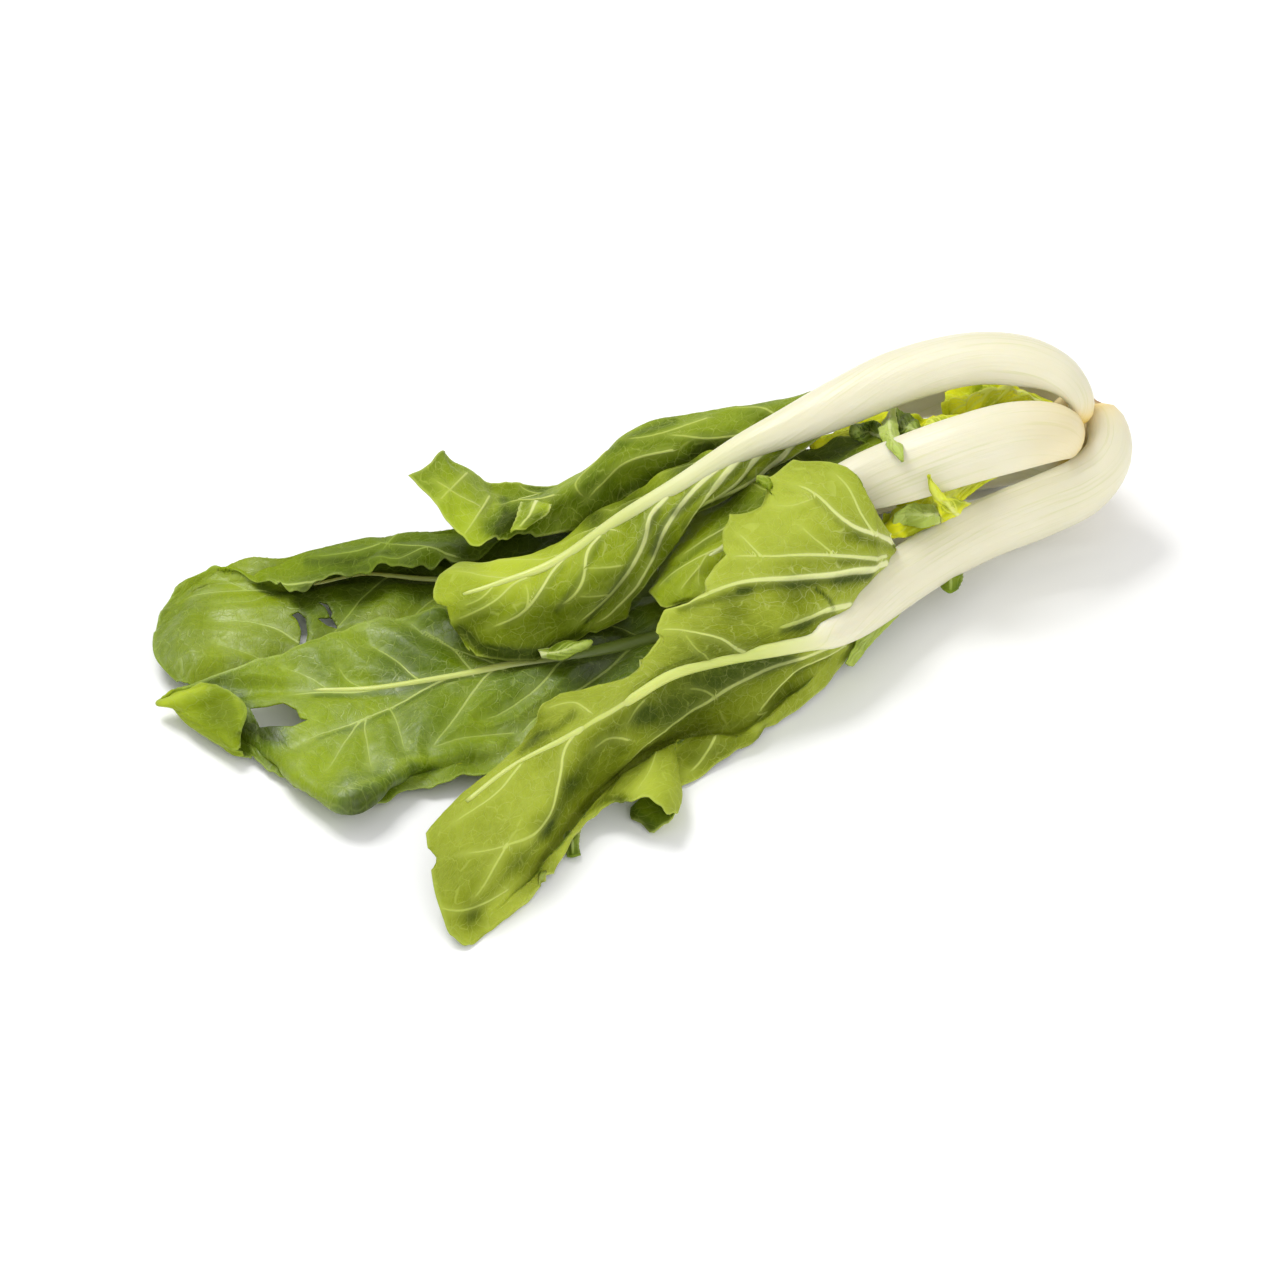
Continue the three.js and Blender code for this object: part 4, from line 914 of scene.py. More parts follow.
            [[-130, -13.3, 11], [-128, -13.5, 12], [-125, -14.5, 13], [-120, -17, 14], [-118.5, -21, 13.5],
             [-121, -27, 11], [-120, -32, 7]],
        ],
    },
}
print({name: (len(leaf["rows"]), len(leaf["rows"][0])) for name, leaf in BLADES.items()})

# %% [markdown]
# ## Veins and holes
# The side veins are what the eye follows on such a leaf, so each clear one is given as a
# line of points in the view, with its width at both ends and how white it starts. On a half
# that is not seen the veins are made by rule, from the row of the net where they leave the rib.

# %% The lines of the veins
VEINS = {
    "upper": [
        (3.2, 0.9, 1.0, [(50, 63), (42.9, 56.2), (39.4, 52.7), (35.4, 49.3), (26.3, 44.1), (20.6, 41.2),
                         (17.1, 38.9)]),
        (2.8, 0.8, 1.0, [(42, 61), (33.5, 54), (31, 50), (26, 45), (20, 40.3), (16, 36.4)]),
        (2.2, 0.7, 0.9, [(30, 55), (24, 48), (19, 41.5), (15, 35), (12.5, 30.5)]),
        (1.7, 0.6, 0.8, [(23, 51), (16.4, 45.3), (9.6, 36.7), (6.1, 30.3), (3.2, 23.5), (-0.8, 17.1),
                         (-7.7, 9.1), (-14.6, 3.9)]),
        (1.6, 0.6, 0.7, [(8, 42.5), (2.7, 37.2), (2.1, 32.1), (-0.2, 26.3), (-4.2, 20), (-9.4, 13.7),
                         (-15.1, 8), (-20, 4.5)]),
        (1.2, 0.5, 0.4, [(-12, 30.5), (-16, 26), (-16.5, 19), (-19, 14), (-24, 10.3)]),
        (1.2, 0.5, 0.4, [(-21, 25.5), (-26, 21), (-30, 14), (-36, 7.4), (-45, 3.5)]),
        (0.6, 0.3, 0.1, [(-34, 9.2), (-33, 14), (-35, 17.5)]),
        (0.7, 0.4, 0.2, [(-34, 18.4), (-38, 17), (-43, 12), (-50, 8), (-56, 6)]),
        (0.6, 0.3, 0.1, [(-44, 15.5), (-48, 12), (-53, 10)]),
        (0.7, 0.3, 0.2, [(-8, 32.5), (-16, 33), (-24, 30)]),
        (0.7, 0.3, 0.1, [(-22, 25), (-33, 24.5), (-42, 24)]),
        (0.7, 0.3, 0.1, [(-38, 18), (-48, 19), (-56, 20)]),
        (0.5, 0.3, 0.1, [(-6, 22), (-12, 21), (-16.5, 21)]),
        (0.5, 0.3, 0.1, [(-10, 13.5), (-16, 13), (-19, 13.5)]),
    ],
    "middle": [
        (0.8, 0.4, 0.2, [(27, 28.5), (16, 24), (9, 19), (5, 15)]),
        (0.8, 0.4, 0.3, [(34, 36), (28, 35), (20, 31), (12, 25)]),
        (0.6, 0.4, 0.1, [(18, 22), (14, 18), (12, 15)]),
        (0.5, 0.3, 0.1, [(20, 25.5), (17, 20), (18, 16)]),
    ],
    "front": [
        (2.0, 0.6, 0.9, [(78, 30.5), (72, 31.2), (66, 32.6), (62.4, 34.4), (58.4, 37.8), (54.3, 42.4),
                         (49.8, 45.8), (45.7, 46.7)]),
        (0.9, 0.5, 0.3, [(70, 32), (66, 37.8), (64.7, 41.3), (62.4, 45.8), (58.4, 49.9)]),
        (0.6, 0.4, 0.1, [(57, 26.7), (52, 30.5), (48.6, 34.4)]),
        (0.7, 0.4, 0.1, [(37, 24.9), (35.4, 25.8), (32, 29.8), (29.1, 32.9)]),
        (0.5, 0.3, 0.1, [(52, 42.5), (46, 40), (40, 40.5)]),
        (1.4, 0.6, 0.6, [(74, 25.2), (70, 24.3), (60, 24.8), (50, 25.5), (39.4, 25.2), (25.6, 25.5)]),
        (2.4, 1.1, 0.9, [(74, 23), (70, 21.6), (61.5, 19.9), (50, 18.8), (40, 18), (30, 16.5), (22, 14.2),
                         (15.3, 11.4), (8, 8.6)]),
        (1.8, 0.7, 0.7, [(62, 11), (57, 9.2), (50, 6.2), (45.2, 4.6), (41, 3.3)]),
        (1.0, 0.5, 0.3, [(31, -3.5), (27.4, -2.9), (24.5, 0.2), (14.2, 3), (5.5, 3.4)]),
        (0.5, 0.3, 0.0, [(21, -6.5), (17, -3), (13, 3)]),
        (1.9, 0.7, 0.5, [(60, 0), (52, -4), (45, -6.7), (35, -10), (25, -14.6), (16.6, -20.1), (3.8, -30.2),
                         (-5.4, -39.4)]),
        (1.5, 0.6, 0.4, [(62, -1.5), (55, -5.5), (48, -9), (43, -14), (38, -19), (34, -26)]),
        (1.7, 1.3, 0.4, [(2, -14.4), (-4, -18.6), (-12, -23.6), (-21, -29)]),
        (0.6, 0.4, 0.1, [(22, -16.5), (18, -14), (14, -14.5)]),
        (0.6, 0.4, 0.1, [(-4, -30), (-10, -29), (-14, -33)]),
        (0.6, 0.3, 0.1, [(1, -18), (-1, -20), (-4.5, -26)]),
        (0.9, 0.4, 0.2, [(-20, -29), (-23, -33), (-24, -42), (-28, -53), (-35, -60), (-45, -63),
                         (-54, -64)]),
        (0.6, 0.4, 0.1, [(-40, -61.5), (-44, -69), (-50, -78)]),
        (0.8, 0.4, 0.1, [(-36, -38), (-44, -47), (-56, -55)]),
        (0.8, 0.5, 0.1, [(22.5, -29.5), (19, -35), (15, -40)]),
        (0.6, 0.4, 0.1, [(-15, -22), (-20, -18.5), (-28, -21)]),
        (0.6, 0.4, 0.1, [(-40, -75.2), (-52.2, -81.1), (-61, -80.7)]),
        (0.5, 0.3, 0.0, [(5, -33), (3, -40), (-2, -46)]),
    ],
    "back": [
        (0.7, 0.4, 0.1, [(42, 67), (36, 69.5), (28, 70)]),
        (0.8, 0.4, 0.2, [(33, 61.8), (25, 60.5), (17, 60.5), (8, 62)]),
        (0.8, 0.4, 0.2, [(10, 57), (5, 56), (-5, 53), (-11, 48), (-16, 42)]),
        (0.6, 0.4, 0.1, [(20, 66), (10, 63), (2, 61), (-5, 60)]),
        (0.6, 0.4, 0.1, [(-10, 56), (-20, 46), (-16, 42)]),
        (0.8, 0.4, 0.2, [(-45, 43), (-49, 37), (-53, 31)]),
        (0.6, 0.4, 0.2, [(-52, 50), (-56, 46), (-60, 41)]),
        (0.6, 0.4, 0.1, [(-48, 40), (-55, 43), (-62, 48)]),
        (0.8, 0.5, 0.2, [(-26, 43), (-33, 42), (-43, 41)]),
    ],
    "lower_back": [
        (0.8, 0.4, 0.2, [(-55.3, 24.8), (-70.9, 28.2), (-80.6, 30.2)]),
        (0.6, 0.3, 0.1, [(-64, 26.6), (-72, 24), (-80, 24)]),
        (0.6, 0.3, 0.1, [(-78, 29), (-88, 26), (-98, 25)]),
        (1.0, 0.4, 0.2, [(-97, 16.8), (-113, 15), (-130, 14), (-139, 11.5)]),
        (0.6, 0.3, 0.1, [(-108, 15.6), (-116, 11), (-128, 10.5)]),
        (0.9, 0.4, 0.2, [(-103, -0.5), (-108, 2.9), (-117.7, 5.3), (-129.4, 5.3)]),
        (0.9, 0.5, 0.2, [(-105, -3.5), (-113.8, -6.9), (-121.6, -9.3), (-129.4, -12.3)]),
        (0.6, 0.3, 0.1, [(-112, -6), (-120, -3), (-128, -1)]),
        (0.6, 0.3, 0.1, [(-118, 14.8), (-124, 18), (-130, 19)]),
    ],
    "lower_front": [
        (2.0, 0.7, 0.4, [(-44.5, -8.8), (-59.2, -11.3), (-73.8, -13.7), (-86.5, -15.7), (-97.2, -15.7),
                         (-108, -17.6)]),
        (1.3, 0.5, 0.3, [(-50, -9.6), (-57.2, -11.2), (-68.9, -17.1), (-84.5, -24), (-96.3, -28.4),
                         (-103.1, -32.3)]),
        (0.9, 0.4, 0.1, [(-82, -23), (-84.5, -24), (-88.5, -31.3), (-94.3, -40)]),
        (0.7, 0.4, 0.1, [(-81.5, -22.7), (-83.1, -24), (-81.6, -32.3), (-80.2, -40)]),
        (0.6, 0.4, 0.0, [(-75, -19.8), (-72, -27), (-71, -34)]),
        (0.9, 0.4, 0.2, [(-42, -8.4), (-45.5, -9.8), (-51.4, -18.6), (-56.2, -25.4), (-63.1, -33.2)]),
        (0.6, 0.4, 0.0, [(-37.7, -27.4), (-46, -28), (-55.3, -30.3), (-63, -33)]),
        (0.8, 0.4, 0.0, [(-82, -14.8), (-85, -13.5), (-88, -12), (-90.5, -8.5)]),
        (0.8, 0.4, 0.1, [(-66, -12.4), (-73, -6), (-82, -1.5)]),
        (0.8, 0.4, 0.1, [(-50, -9.6), (-57, -2), (-66, 3)]),
        (0.6, 0.4, 0.1, [(-92, -15.8), (-99, -11.5), (-107, -9.5)]),
        (1.2, 0.5, 0.1, [(0, 0), (-10, -9), (-21, -16), (-30, -22), (-38, -30)]),
        (0.9, 0.4, 0.1, [(-22, -4.6), (-30, -14), (-40, -21), (-47, -24)]),
    ],
}

# For each leaf: rows of the net where a rule-made side vein leaves the rib, and its side, -1
# for the first columns and 1 for the last ones.
SIDE_VEINS = {
    "upper": [(1.2, -1), (2.4, -1)],
    "middle": [(0.6, -1), (1.5, -1), (0.8, 1), (1.7, 1), (2.6, 1)],
    "front": [],
    "back": [(0.6, -1), (1.8, -1), (3.0, -1), (4.4, -1)],
    "lower_back": [(1.0, -1), (2.2, -1), (3.4, -1), (0.5, 1), (2.1, 1)],
    "lower_front": [(0.5, -1), (1.4, -1), (2.3, -1), (7.6, 1), (8.4, 1)],
}
print("veins placed by hand:", sum(len(lines) for lines in VEINS.values()))

# %% Holes, edges, and painted light and shade, as seen
# A hole, or a notch in an end: the two heights that it reaches between, and its outline.
HOLES = {
    "upper": [
        (0, 60, [(-63.1, 11.1), (-60.4, 10.9), (-57.9, 10.1), (-57.3, 7.4), (-56.6, 4.6), (-56.2, 1.9),
                 (-58, 1), (-63.1, 6)]),
    ],
    "front": [
        (0, 20, [(-66, -61.3), (-63.1, -62.8), (-61, -65.3), (-61.2, -67), (-62.3, -68.9), (-66, -70.1)]),
    ],
    "lower_back": [
        (0, 12, [(-104.6, 7.5), (-102.5, 8.5), (-100.2, 6.3), (-99.7, 1.5), (-100.6, -2.4), (-102.2, -1.5),
                 (-101.6, 2.6), (-102.8, 5.8)]),
        (0, 12, [(-96.8, 11.4), (-93.8, 10.9), (-92.3, 8.2), (-92.9, 6.4), (-94.4, 9.6)]),
        (0, 12, [(-97, 6.5), (-92.4, 6.5), (-90.3, 3.1), (-93.8, 4.1)]),
    ],
    "lower_front": [
        (0, 12, [(-117, -20.5), (-112, -20), (-107, -18.8), (-103, -21), (-102, -23.5), (-99.5, -24),
                 (-104, -26), (-111, -26), (-114, -26.4)]),
    ],
}

# An edge that is torn or notched: -1 for the first column of the net and 1 for the last, the
# rows of the net between which it runs, how far in the leaf follows it, and its line.
MARGINS = {
    "back": [
        (1, 1, 5, 6, [(35.5, 58), (26, 52.5), (15.5, 46.5), (4, 41.5), (-3, 38.5), (-17, 33), (-31, 31)]),
    ],
    "upper": [
        (1, 0, 1, 7, [(56.6, 63.1), (49.7, 56.8), (38.8, 51.6), (33.7, 48.1)]),
        (1, 1, 2, 7, [(33.7, 48.1), (29.1, 44.1), (22.2, 39), (16.4, 36.1), (14.2, 32.6), (12.8, 29.6)]),
        (1, 2, 3, 7, [(12.8, 29.6), (12.2, 27.6), (7.3, 22.9), (2.7, 17.7), (0.3, 14.6)]),
        (1, 3, 4, 6, [(0.3, 14.6), (-2.1, 11.8), (-2.5, 6.2), (-8, 3.2), (-13.5, 1.5)]),
        (1, 5, 7, 6, [(-28, -5), (-30.9, -6.4), (-39.7, -6.4), (-49.4, -4.9), (-51.5, -2.4)]),
    ],
    "front": [
        (1, 1, 3, 4, [(69, 3), (66, -0.5), (63, -5), (61, -7.6), (58.8, -11.2), (56, -14.2), (52, -17.4)]),
        (1, 3, 5, 4, [(52, -17.4), (48, -20.5), (42, -25.4), (38.3, -26.8), (37, -29.4), (34.4, -31.5),
                      (31, -33.4)]),
        (-1, 1, 2, 8, [(66, 49.9), (62.4, 52.4), (56.6, 53.6), (51, 54.3), (46, 54.7)]),
        (-1, 2, 3, 8, [(46, 54.7), (43, 52.3), (39.4, 49.5), (36.6, 49.3), (34.8, 48.6)]),
        (-1, 3, 4, 7, [(34.8, 48.6), (37.1, 48.1), (36.8, 43.6), (35.4, 40.7), (32.5, 39.8), (26.5, 38.7)]),
        (-1, 4, 5, 6, [(26.5, 38.7), (25.9, 35.5), (24.5, 33.2), (24.8, 27.5), (25.8, 25.6), (22.2, 22.3),
                       (19.3, 17.7)]),
        (-1, 5, 7, 5, [(19.3, 17.7), (19.6, 14.3), (14.7, 11.1), (7.3, 9.1), (5, 5)]),
        (-1, 7, 11, 4, [(5, 5), (4.6, 2.6), (5.5, 1.2), (1.5, -2.4), (-1.9, -4.7), (-1.4, -7.6),
                        (-3.1, -9.2)]),
        (-1, 11, 15, 5, [(-3.1, -9.2), (-7.6, -12.1), (-14, -13), (-19.1, -15), (-24, -15.6), (-28.6, -18.8),
                         (-31, -21.5), (-34.4, -26.4)]),
        (-1, 15, 18, 6, [(-34.4, -26.4), (-37.5, -32), (-38.6, -38), (-44, -40.5), (-49.7, -44.6),
                         (-57.3, -49.4), (-63, -57)]),
        (1, 14, 18, 3.5, [(-21, -64.5), (-24.5, -70), (-29, -71), (-28.4, -73.5), (-33, -79),
                          (-39, -84.5), (-45, -89.5), (-49.5, -91.8)]),
    ],
}

# Painted shade along folds, where a leaf lies in shadow, and painted light along ridges,
# where it catches the light: how far the change reaches from the line, how much the tone
# changes there, and the line.
PAINTED_LIGHT_AND_SHADE_LINES = {
    "front": [
        (3.4, -0.8, [(2, -22), (-6, -25), (-13, -31), (-16.5, -39), (-20.5, -48), (-27, -58)]),
        (3.4, -0.6, [(-5, -33), (-9, -39), (-14, -44)]),
        (2.6, -1.5, [(-6, -50), (-3, -54.5), (1.5, -57)]),
        (3.0, -0.4, [(16, -36), (24, -33), (32, -29)]),
        (1.3, -0.9, [(30, 14.8), (40, 16.4), (50, 17.2), (58, 17.9), (69, 19.6)]),
        (2.3, -0.7, [(60, 17.3), (68, 18.8)]),
        (1.3, -0.8, [(12, 9.2), (17, 10.4), (25, 12.6), (33, 14.5)]),
        (1.2, -0.7, [(60, 23.2), (70, 23.6)]),
        (1.4, -0.9, [(43, 2.8), (50, 5), (57.5, 8)]),
        (0.5, -1.3, [(53, 15.3), (55, 14.2), (57, 12), (57.8, 9.5)]),
        (1.6, -0.6, [(62, 31), (70, 29.4), (76, 28.2)]),
        (0.9, -0.4, [(52, 42.8), (55, 40.3), (60, 34.8), (66, 31)]),
        (2.6, -1.1, [(24, -10.5), (34, -8.3), (46, -5.8)]),
        (1.8, -0.9, [(48, -10.5), (52, -7.5), (56, -5)]),
        (1.7, -0.6, [(46, -14), (40, -19), (36, -24)]),
        (1.2, -0.7, [(35.4, -31), (36.5, -28.5), (38, -26.6)]),
        (2.4, -0.5, [(-51, -84), (-36.3, -67), (-27.5, -57), (-21.5, -43)]),
        (1.3, -0.6, [(-20, -22), (-25, -26), (-31, -27.5), (-36, -33)]),
        (1.6, -0.7, [(-2, -52), (-6, -47), (-11, -47.5), (-16, -51)]),
    ],
    "upper": [
        (2.2, -1.3, [(-54.5, 3), (-48, -2.5), (-38, -5.3), (-28, -6.3)]),
        (1.4, -1.0, [(42.5, 56.6), (38, 51.5), (33, 47.6)]),
        (1.3, -0.9, [(33, 54.2), (25, 48.5), (17.6, 43.2), (10.7, 38)]),
        (1.3, -0.9, [(31, 48.8), (24, 42.8), (18, 38), (14, 33.5)]),
        (1.2, -0.7, [(15, 44.6), (6.7, 34.6), (3.8, 26)]),
        (1.0, -0.6, [(5.5, 38.6), (-1, 27), (-8, 15.5), (-16, 5.5)]),
        (1.0, -0.5, [(-12, 29.3), (-17.5, 19), (-25, 9)]),
        (1.0, -0.4, [(-23, 22), (-31, 12.5), (-40, 4.6)]),
        (2.1, -0.7, [(-18, 1.5), (-25, -2.5), (-33, -4.5), (-45, -4)]),
    ],
    "back": [
        (1.6, -0.9, [(28, 61), (18, 56.5), (6, 49.5), (-6, 43.5)]),
        (1.3, -0.7, [(-43, 30.5), (-40, 36), (-41, 42)]),
        (1.0, 0.6, [(-38, 33), (-34, 36), (-28, 41)]),
        (1.3, -0.5, [(10, 66.5), (0, 62.5), (-10, 56)]),
    ],
    "middle": [
        (1.6, -0.7, [(42, 44), (36, 37), (30, 30)]),
        (1.2, -0.6, [(24, 34), (16, 27), (8, 18)]),
    ],
    "lower_back": [
        (1.3, -0.9, [(-114, 15.8), (-108, 12.9), (-104, 13.2), (-96, 16), (-86, 18.6), (-62, 17.3)]),
        (1.0, -0.5, [(-100, 24), (-88, 24), (-76, 26)]),
        (1.0, -0.6, [(-103, 12), (-100, 4), (-102, -4)]),
    ],
    "lower_front": [
        (1.4, 0.5, [(-143, -19), (-136, -15.5), (-131, -14.8)]),
        (1.1, 0.6, [(-121, -17.5), (-119.6, -21), (-121, -26)]),
        (1.0, 0.5, [(-120, -37), (-112, -41.5), (-101, -48)]),
        (1.2, -0.5, [(-44, -10), (-59, -12.6), (-74, -15), (-97, -17)]),
        (1.2, -0.4, [(-57, -12.5), (-69, -18.6), (-84, -25.5), (-96, -30)]),
        (1.6, -0.9, [(-62, -38.5), (-69, -39), (-79, -46.2), (-88, -50.2)]),
        (1.3, 0.4, [(-62, -36.5), (-69, -36.8), (-78.7, -43.8), (-88.5, -47.6)]),
        (1.3, -0.6, [(-120, -17), (-119, -22), (-121, -28)]),
        (1.2, -0.7, [(-115, -27), (-111, -30), (-107, -31)]),
    ],
}

# Painted light and shade: patches of the view where a leaf is made paler where light falls on
# it and darker where it lies in shade: across, up, reach and change.
PAINTED_LIGHT_AND_SHADE_PATCHES = {
    "upper": [(-32, 3, 14, -0.8), (-5, 15, 10, -0.8), (8, 28, 8, -0.8), (-18, 9, 10, -0.7),
              (24, 41, 6, -0.5), (14, 52.5, 6, -1.2), (-4, 44, 7, -1.2), (-14, 37, 5, -1.2),
              (-40, 21, 9, 0.5), (-50, 7, 7, -0.9), (-34, 22, 6, 0.3)],
    "middle": [(60, 56, 9, -1), (45, 50, 10, -1.4), (28, 41, 8, -1.2), (14, 20, 10, 0.1)],
    "front": [(20, -14, 13, -1.2), (38, -9, 10, -0.9), (6, -24, 9, -0.9), (-10, -34, 8, -0.6),
              (-20, -44, 6, -0.6), (47, 15, 5, -0.7), (28, 10, 5, -0.6), (46, 22, 6, -0.1),
              (50, 2.5, 4, -0.9), (24, -36, 9, -0.4), (-48, -74, 9, -0.3), (-38, -80, 8, 0.6),
              (-22, -64, 7, 0.6), (2, -45, 7, 0.5), (52, 40, 12, 0.3), (-31, -29, 5, -0.7),
              (-27, -66, 4, -0.4), (-40, -58, 9, -0.2), (-29, -56, 4, -0.6), (-36, -67, 4, -0.5),
              (-50, -83, 4, -0.8)],
    "back": [(-12, 44, 7, -0.6), (-36, 37, 4, -1.4), (-41, 35, 4, -1.6), (-30, 45, 5, -0.6),
             (25, 62, 8, 0.1), (36, 68, 6, -0.3), (-45, 34, 3, -0.6), (19, 57, 4, -1.2),
             (-56, 46, 8, 0.2)],
    "lower_back": [(-85, 17, 7, -1), (-99, 12, 5, -1), (-68, 18, 7, -1.1), (-50, 18, 10, -1.3),
                   (-30, 25, 14, -1.6), (-111, 20.5, 5, -0.3), (-90, 8, 10, -0.3), (-125, 2, 12, 0.3),
                   (-96, 22, 10, -0.4), (-75, 27, 9, -0.2)],
    "lower_front": [(-66, -4, 10, -0.5), (-95, -9, 8, -0.4), (-20, 0, 12, -1.6), (-36, -2, 9, -1.2),
                    (-10, 2, 12, -1.6), (-58, 4, 8, -0.5), (-110, -28, 4, -1.6), (-76, -44, 5, -0.6),
                    (-86, -47, 5, -0.5), (-52, -38, 6, -0.3), (-76, -26, 12, 0.25),
                    (-127, -21, 8, -0.9), (-118, -28, 5, -1), (-75, -6, 10, -0.6), (-40, -20, 8, -0.3)],
}


def inside(points, outline):
    """Which points of the view lie inside a closed outline, by counting the edges passed."""
    ring = np.array(outline, float)
    result = np.zeros(points.shape[:-1], bool)
    for (ax, ay), (bx, by) in zip(ring, np.roll(ring, -1, axis=0)):
        crosses = (ay > points[..., 1]) != (by > points[..., 1])
        at = ax + (points[..., 1] - ay) / (by - ay + 1e-12) * (bx - ax)
        result ^= crosses & (points[..., 0] < at)
    return result


def pull_to_outline(points, outline):
    """Points of the view moved to the nearest place on a closed outline."""
    ring = np.array(outline, float)
    best = np.full(points.shape[0], np.inf)
    moved = points.copy()
    for start, end in zip(ring, np.roll(ring, -1, axis=0)):
        along = end - start
        t = np.clip((points - start) @ along / (along @ along), 0, 1)
        at = start + t[:, None] * along
        far = np.linalg.norm(points - at, axis=-1)
        moved[far < best] = at[far < best]
        best = np.minimum(best, far)
    return moved


# %% [markdown]
# ## How a blade is made
# First comes the smooth sheet through the net. The margin swings in and out in rounded lobes
# with small teeth, and where its course is seen it is pulled onto its own line. Then the veins:
# a vein lifts the lower face as a ridge and marks the upper face as a groove, and the tissue
# between two veins bulges to the upper side. Softer waves and a pattern of rounded cells make
# the crinkles. Last the sheet gets its thickness: two faces and a rim, which also goes round
# each hole.


# %% The smooth sheet
def margin_reach(share, lobes, phase):
    """How far the margin stands out, from 0.93 to 1: rounded lobes with teeth on them."""
    lobe = np.abs(np.sin(math.pi * (lobes * share + phase)))
    tooth = 0.5 + 0.5 * np.sin(2 * math.pi * (lobes * 2.7 * share + 2 * phase))
    return 0.93 + 0.05 * lobe + 0.02 * tooth


def on_net(leaf, net, row_places, column_places):
    """Points of the sheet at pairs of places: rows go down the array and columns across it.

    A column place is scaled about the rib by the reach of the margin at that row.
    """
    rows, columns = net.shape[:2]
    rib = leaf["rib"]
    share = row_places / (rows - 1)
    first = margin_reach(share, leaf["lobes"], 0.13)
    last = margin_reach(share, leaf["lobes"], 0.61)
    off_rib = column_places - rib
    columns_used = rib + off_rib * np.where(off_rib < 0, first, last)
    row_weights = catmull(row_places, rows)
    column_weights = catmull(columns_used, columns)
    return np.einsum("...r,...c,rcd->...d", row_weights, column_weights, net, optimize=True)


def off_line(places, line):
    """How far each place of the view lies from a line of corners."""
    corners = np.array(line, float)
    start, step = corners[:-1], np.diff(corners, axis=0)
    away = places[..., None, :] - start
    t = np.clip((away * step).sum(-1) / (step * step).sum(-1), 0, 1)
    return np.linalg.norm(away - t[..., None] * step, axis=-1).min(-1)


def pull_margins(points, row_places, margins):
    """Moves each listed edge onto its line in the view, and the sheet beside it less and less."""
    for side, first, last, reach, line in margins:
        rows = np.flatnonzero((row_places >= first) & (row_places <= last))
        corners = np.array(line, float)
        length = np.concatenate([[0], np.cumsum(np.linalg.norm(np.diff(corners, axis=0), axis=-1))])
        share = (row_places[rows] - first) / (last - first)
        target = np.stack([np.interp(share * length[-1], length, corners[:, k]) for k in (0, 1)], -1)
        edge = 0 if side < 0 else -1
        shift = target - as_seen(points[rows, edge])[:, :2]
        steps = np.linalg.norm(np.diff(points[rows], axis=1, prepend=points[rows][:, :1]), axis=-1)
        off = np.cumsum(steps, axis=1)
        off = off if side < 0 else off[:, -1:] - off
        weight = ease(reach, 0, off)[..., None]
        move = shift[:, :1] * np.array([1.0, 0, 0]) + shift[:, 1:] * VIEW_UP
        points[rows] += weight * move[:, None]


def normals(points, up):
    """Unit normals of a sheet: lengthways step times crossways step, turned the way of up."""
    return up * unit(np.cross(np.gradient(points, axis=0), np.gradient(points, axis=1)))


def lay_out(leaf, rows, size, margins=()):
    """The net of a leaf, its smooth sheet, and the way along it and across it from the rib."""
    net = seen(rows)
    row_places = even_places(net, size[0], 0)
    column_places = even_places(net, size[1], 1)
    grid_rows, grid_columns = np.meshgrid(row_places, column_places, indexing="ij")
    base = on_net(leaf, net, grid_rows, grid_columns)
    pull_margins(base, row_places, margins)
    rib = int(np.argmin(np.abs(column_places - leaf["rib"])))
    across = np.cumsum(np.linalg.norm(np.diff(base, axis=1, prepend=base[:, :1]), axis=-1), axis=1)
    across -= across[:, rib:rib + 1]
    along = np.cumsum(np.linalg.norm(np.diff(base, axis=0, prepend=base[:1]), axis=-1).mean(1))
    return net, base, np.broadcast_to(along[:, None], across.shape), across


def to_edges(along, across):
    """How far out each vertex is, 0 at the rib and 1 at the edge, and how far from the margin."""
    half = np.where(across < 0, -across[:, :1], across[:, -1:])
    to_margin = np.minimum(half - np.abs(across), along[-1:] - along)
    return np.abs(across) / np.maximum(half, 1), to_margin


# %% Veins on a sheet
VEIN_STEP = 1.2
SMOOTHINGS = 9


def line_in_view(line, points, view):
    """The way of a vein over the sheet, from its points in the view, in steps of VEIN_STEP.

    For each place on the line it looks at the vertices no further off in the view than a step,
    keeps those in front, takes the nearest of them, and smooths the way that these make.
    """
    corners = np.array(line, float)
    steps = np.linalg.norm(np.diff(corners, axis=0), axis=-1)
    reach = np.concatenate([[0], np.cumsum(steps)])
    places = np.interp(np.arange(0, reach[-1] + 0.5, VEIN_STEP), reach, np.arange(len(corners)))
    way = catmull(places, len(corners)) @ corners
    found = []
    for place in way:
        off = np.linalg.norm(view[:, :2] - place, axis=-1)
        near = np.flatnonzero(off < max(VEIN_STEP, off.min() + 0.01))
        front = near[view[near, 2] < view[near, 2].min() + 2]
        found.append(points[front[np.argmin(off[front])]])
    return smooth_line(np.array(found))


def smooth_line(way):
    """A line with its wiggles taken out: each point becomes a mean with its neighbours."""
    for _ in range(SMOOTHINGS):
        if len(way) > 2:
            way[1:-1] = way[:-2] / 4 + way[1:-1] / 2 + way[2:] / 4
    return way


def side_vein(leaf, net, row, side):
    """The way of a rule-made side vein: it leaves the rib and leans on towards the tip."""
    rows, columns = net.shape[:2]
    t = np.linspace(0, 0.93, 26)
    row_places = np.minimum(row + 1.5 * t**1.1, rows - 1.05)
    room = columns - 1 - leaf["rib"] if side > 0 else leaf["rib"]
    return on_net(leaf, net, row_places, leaf["rib"] + side * room * t)


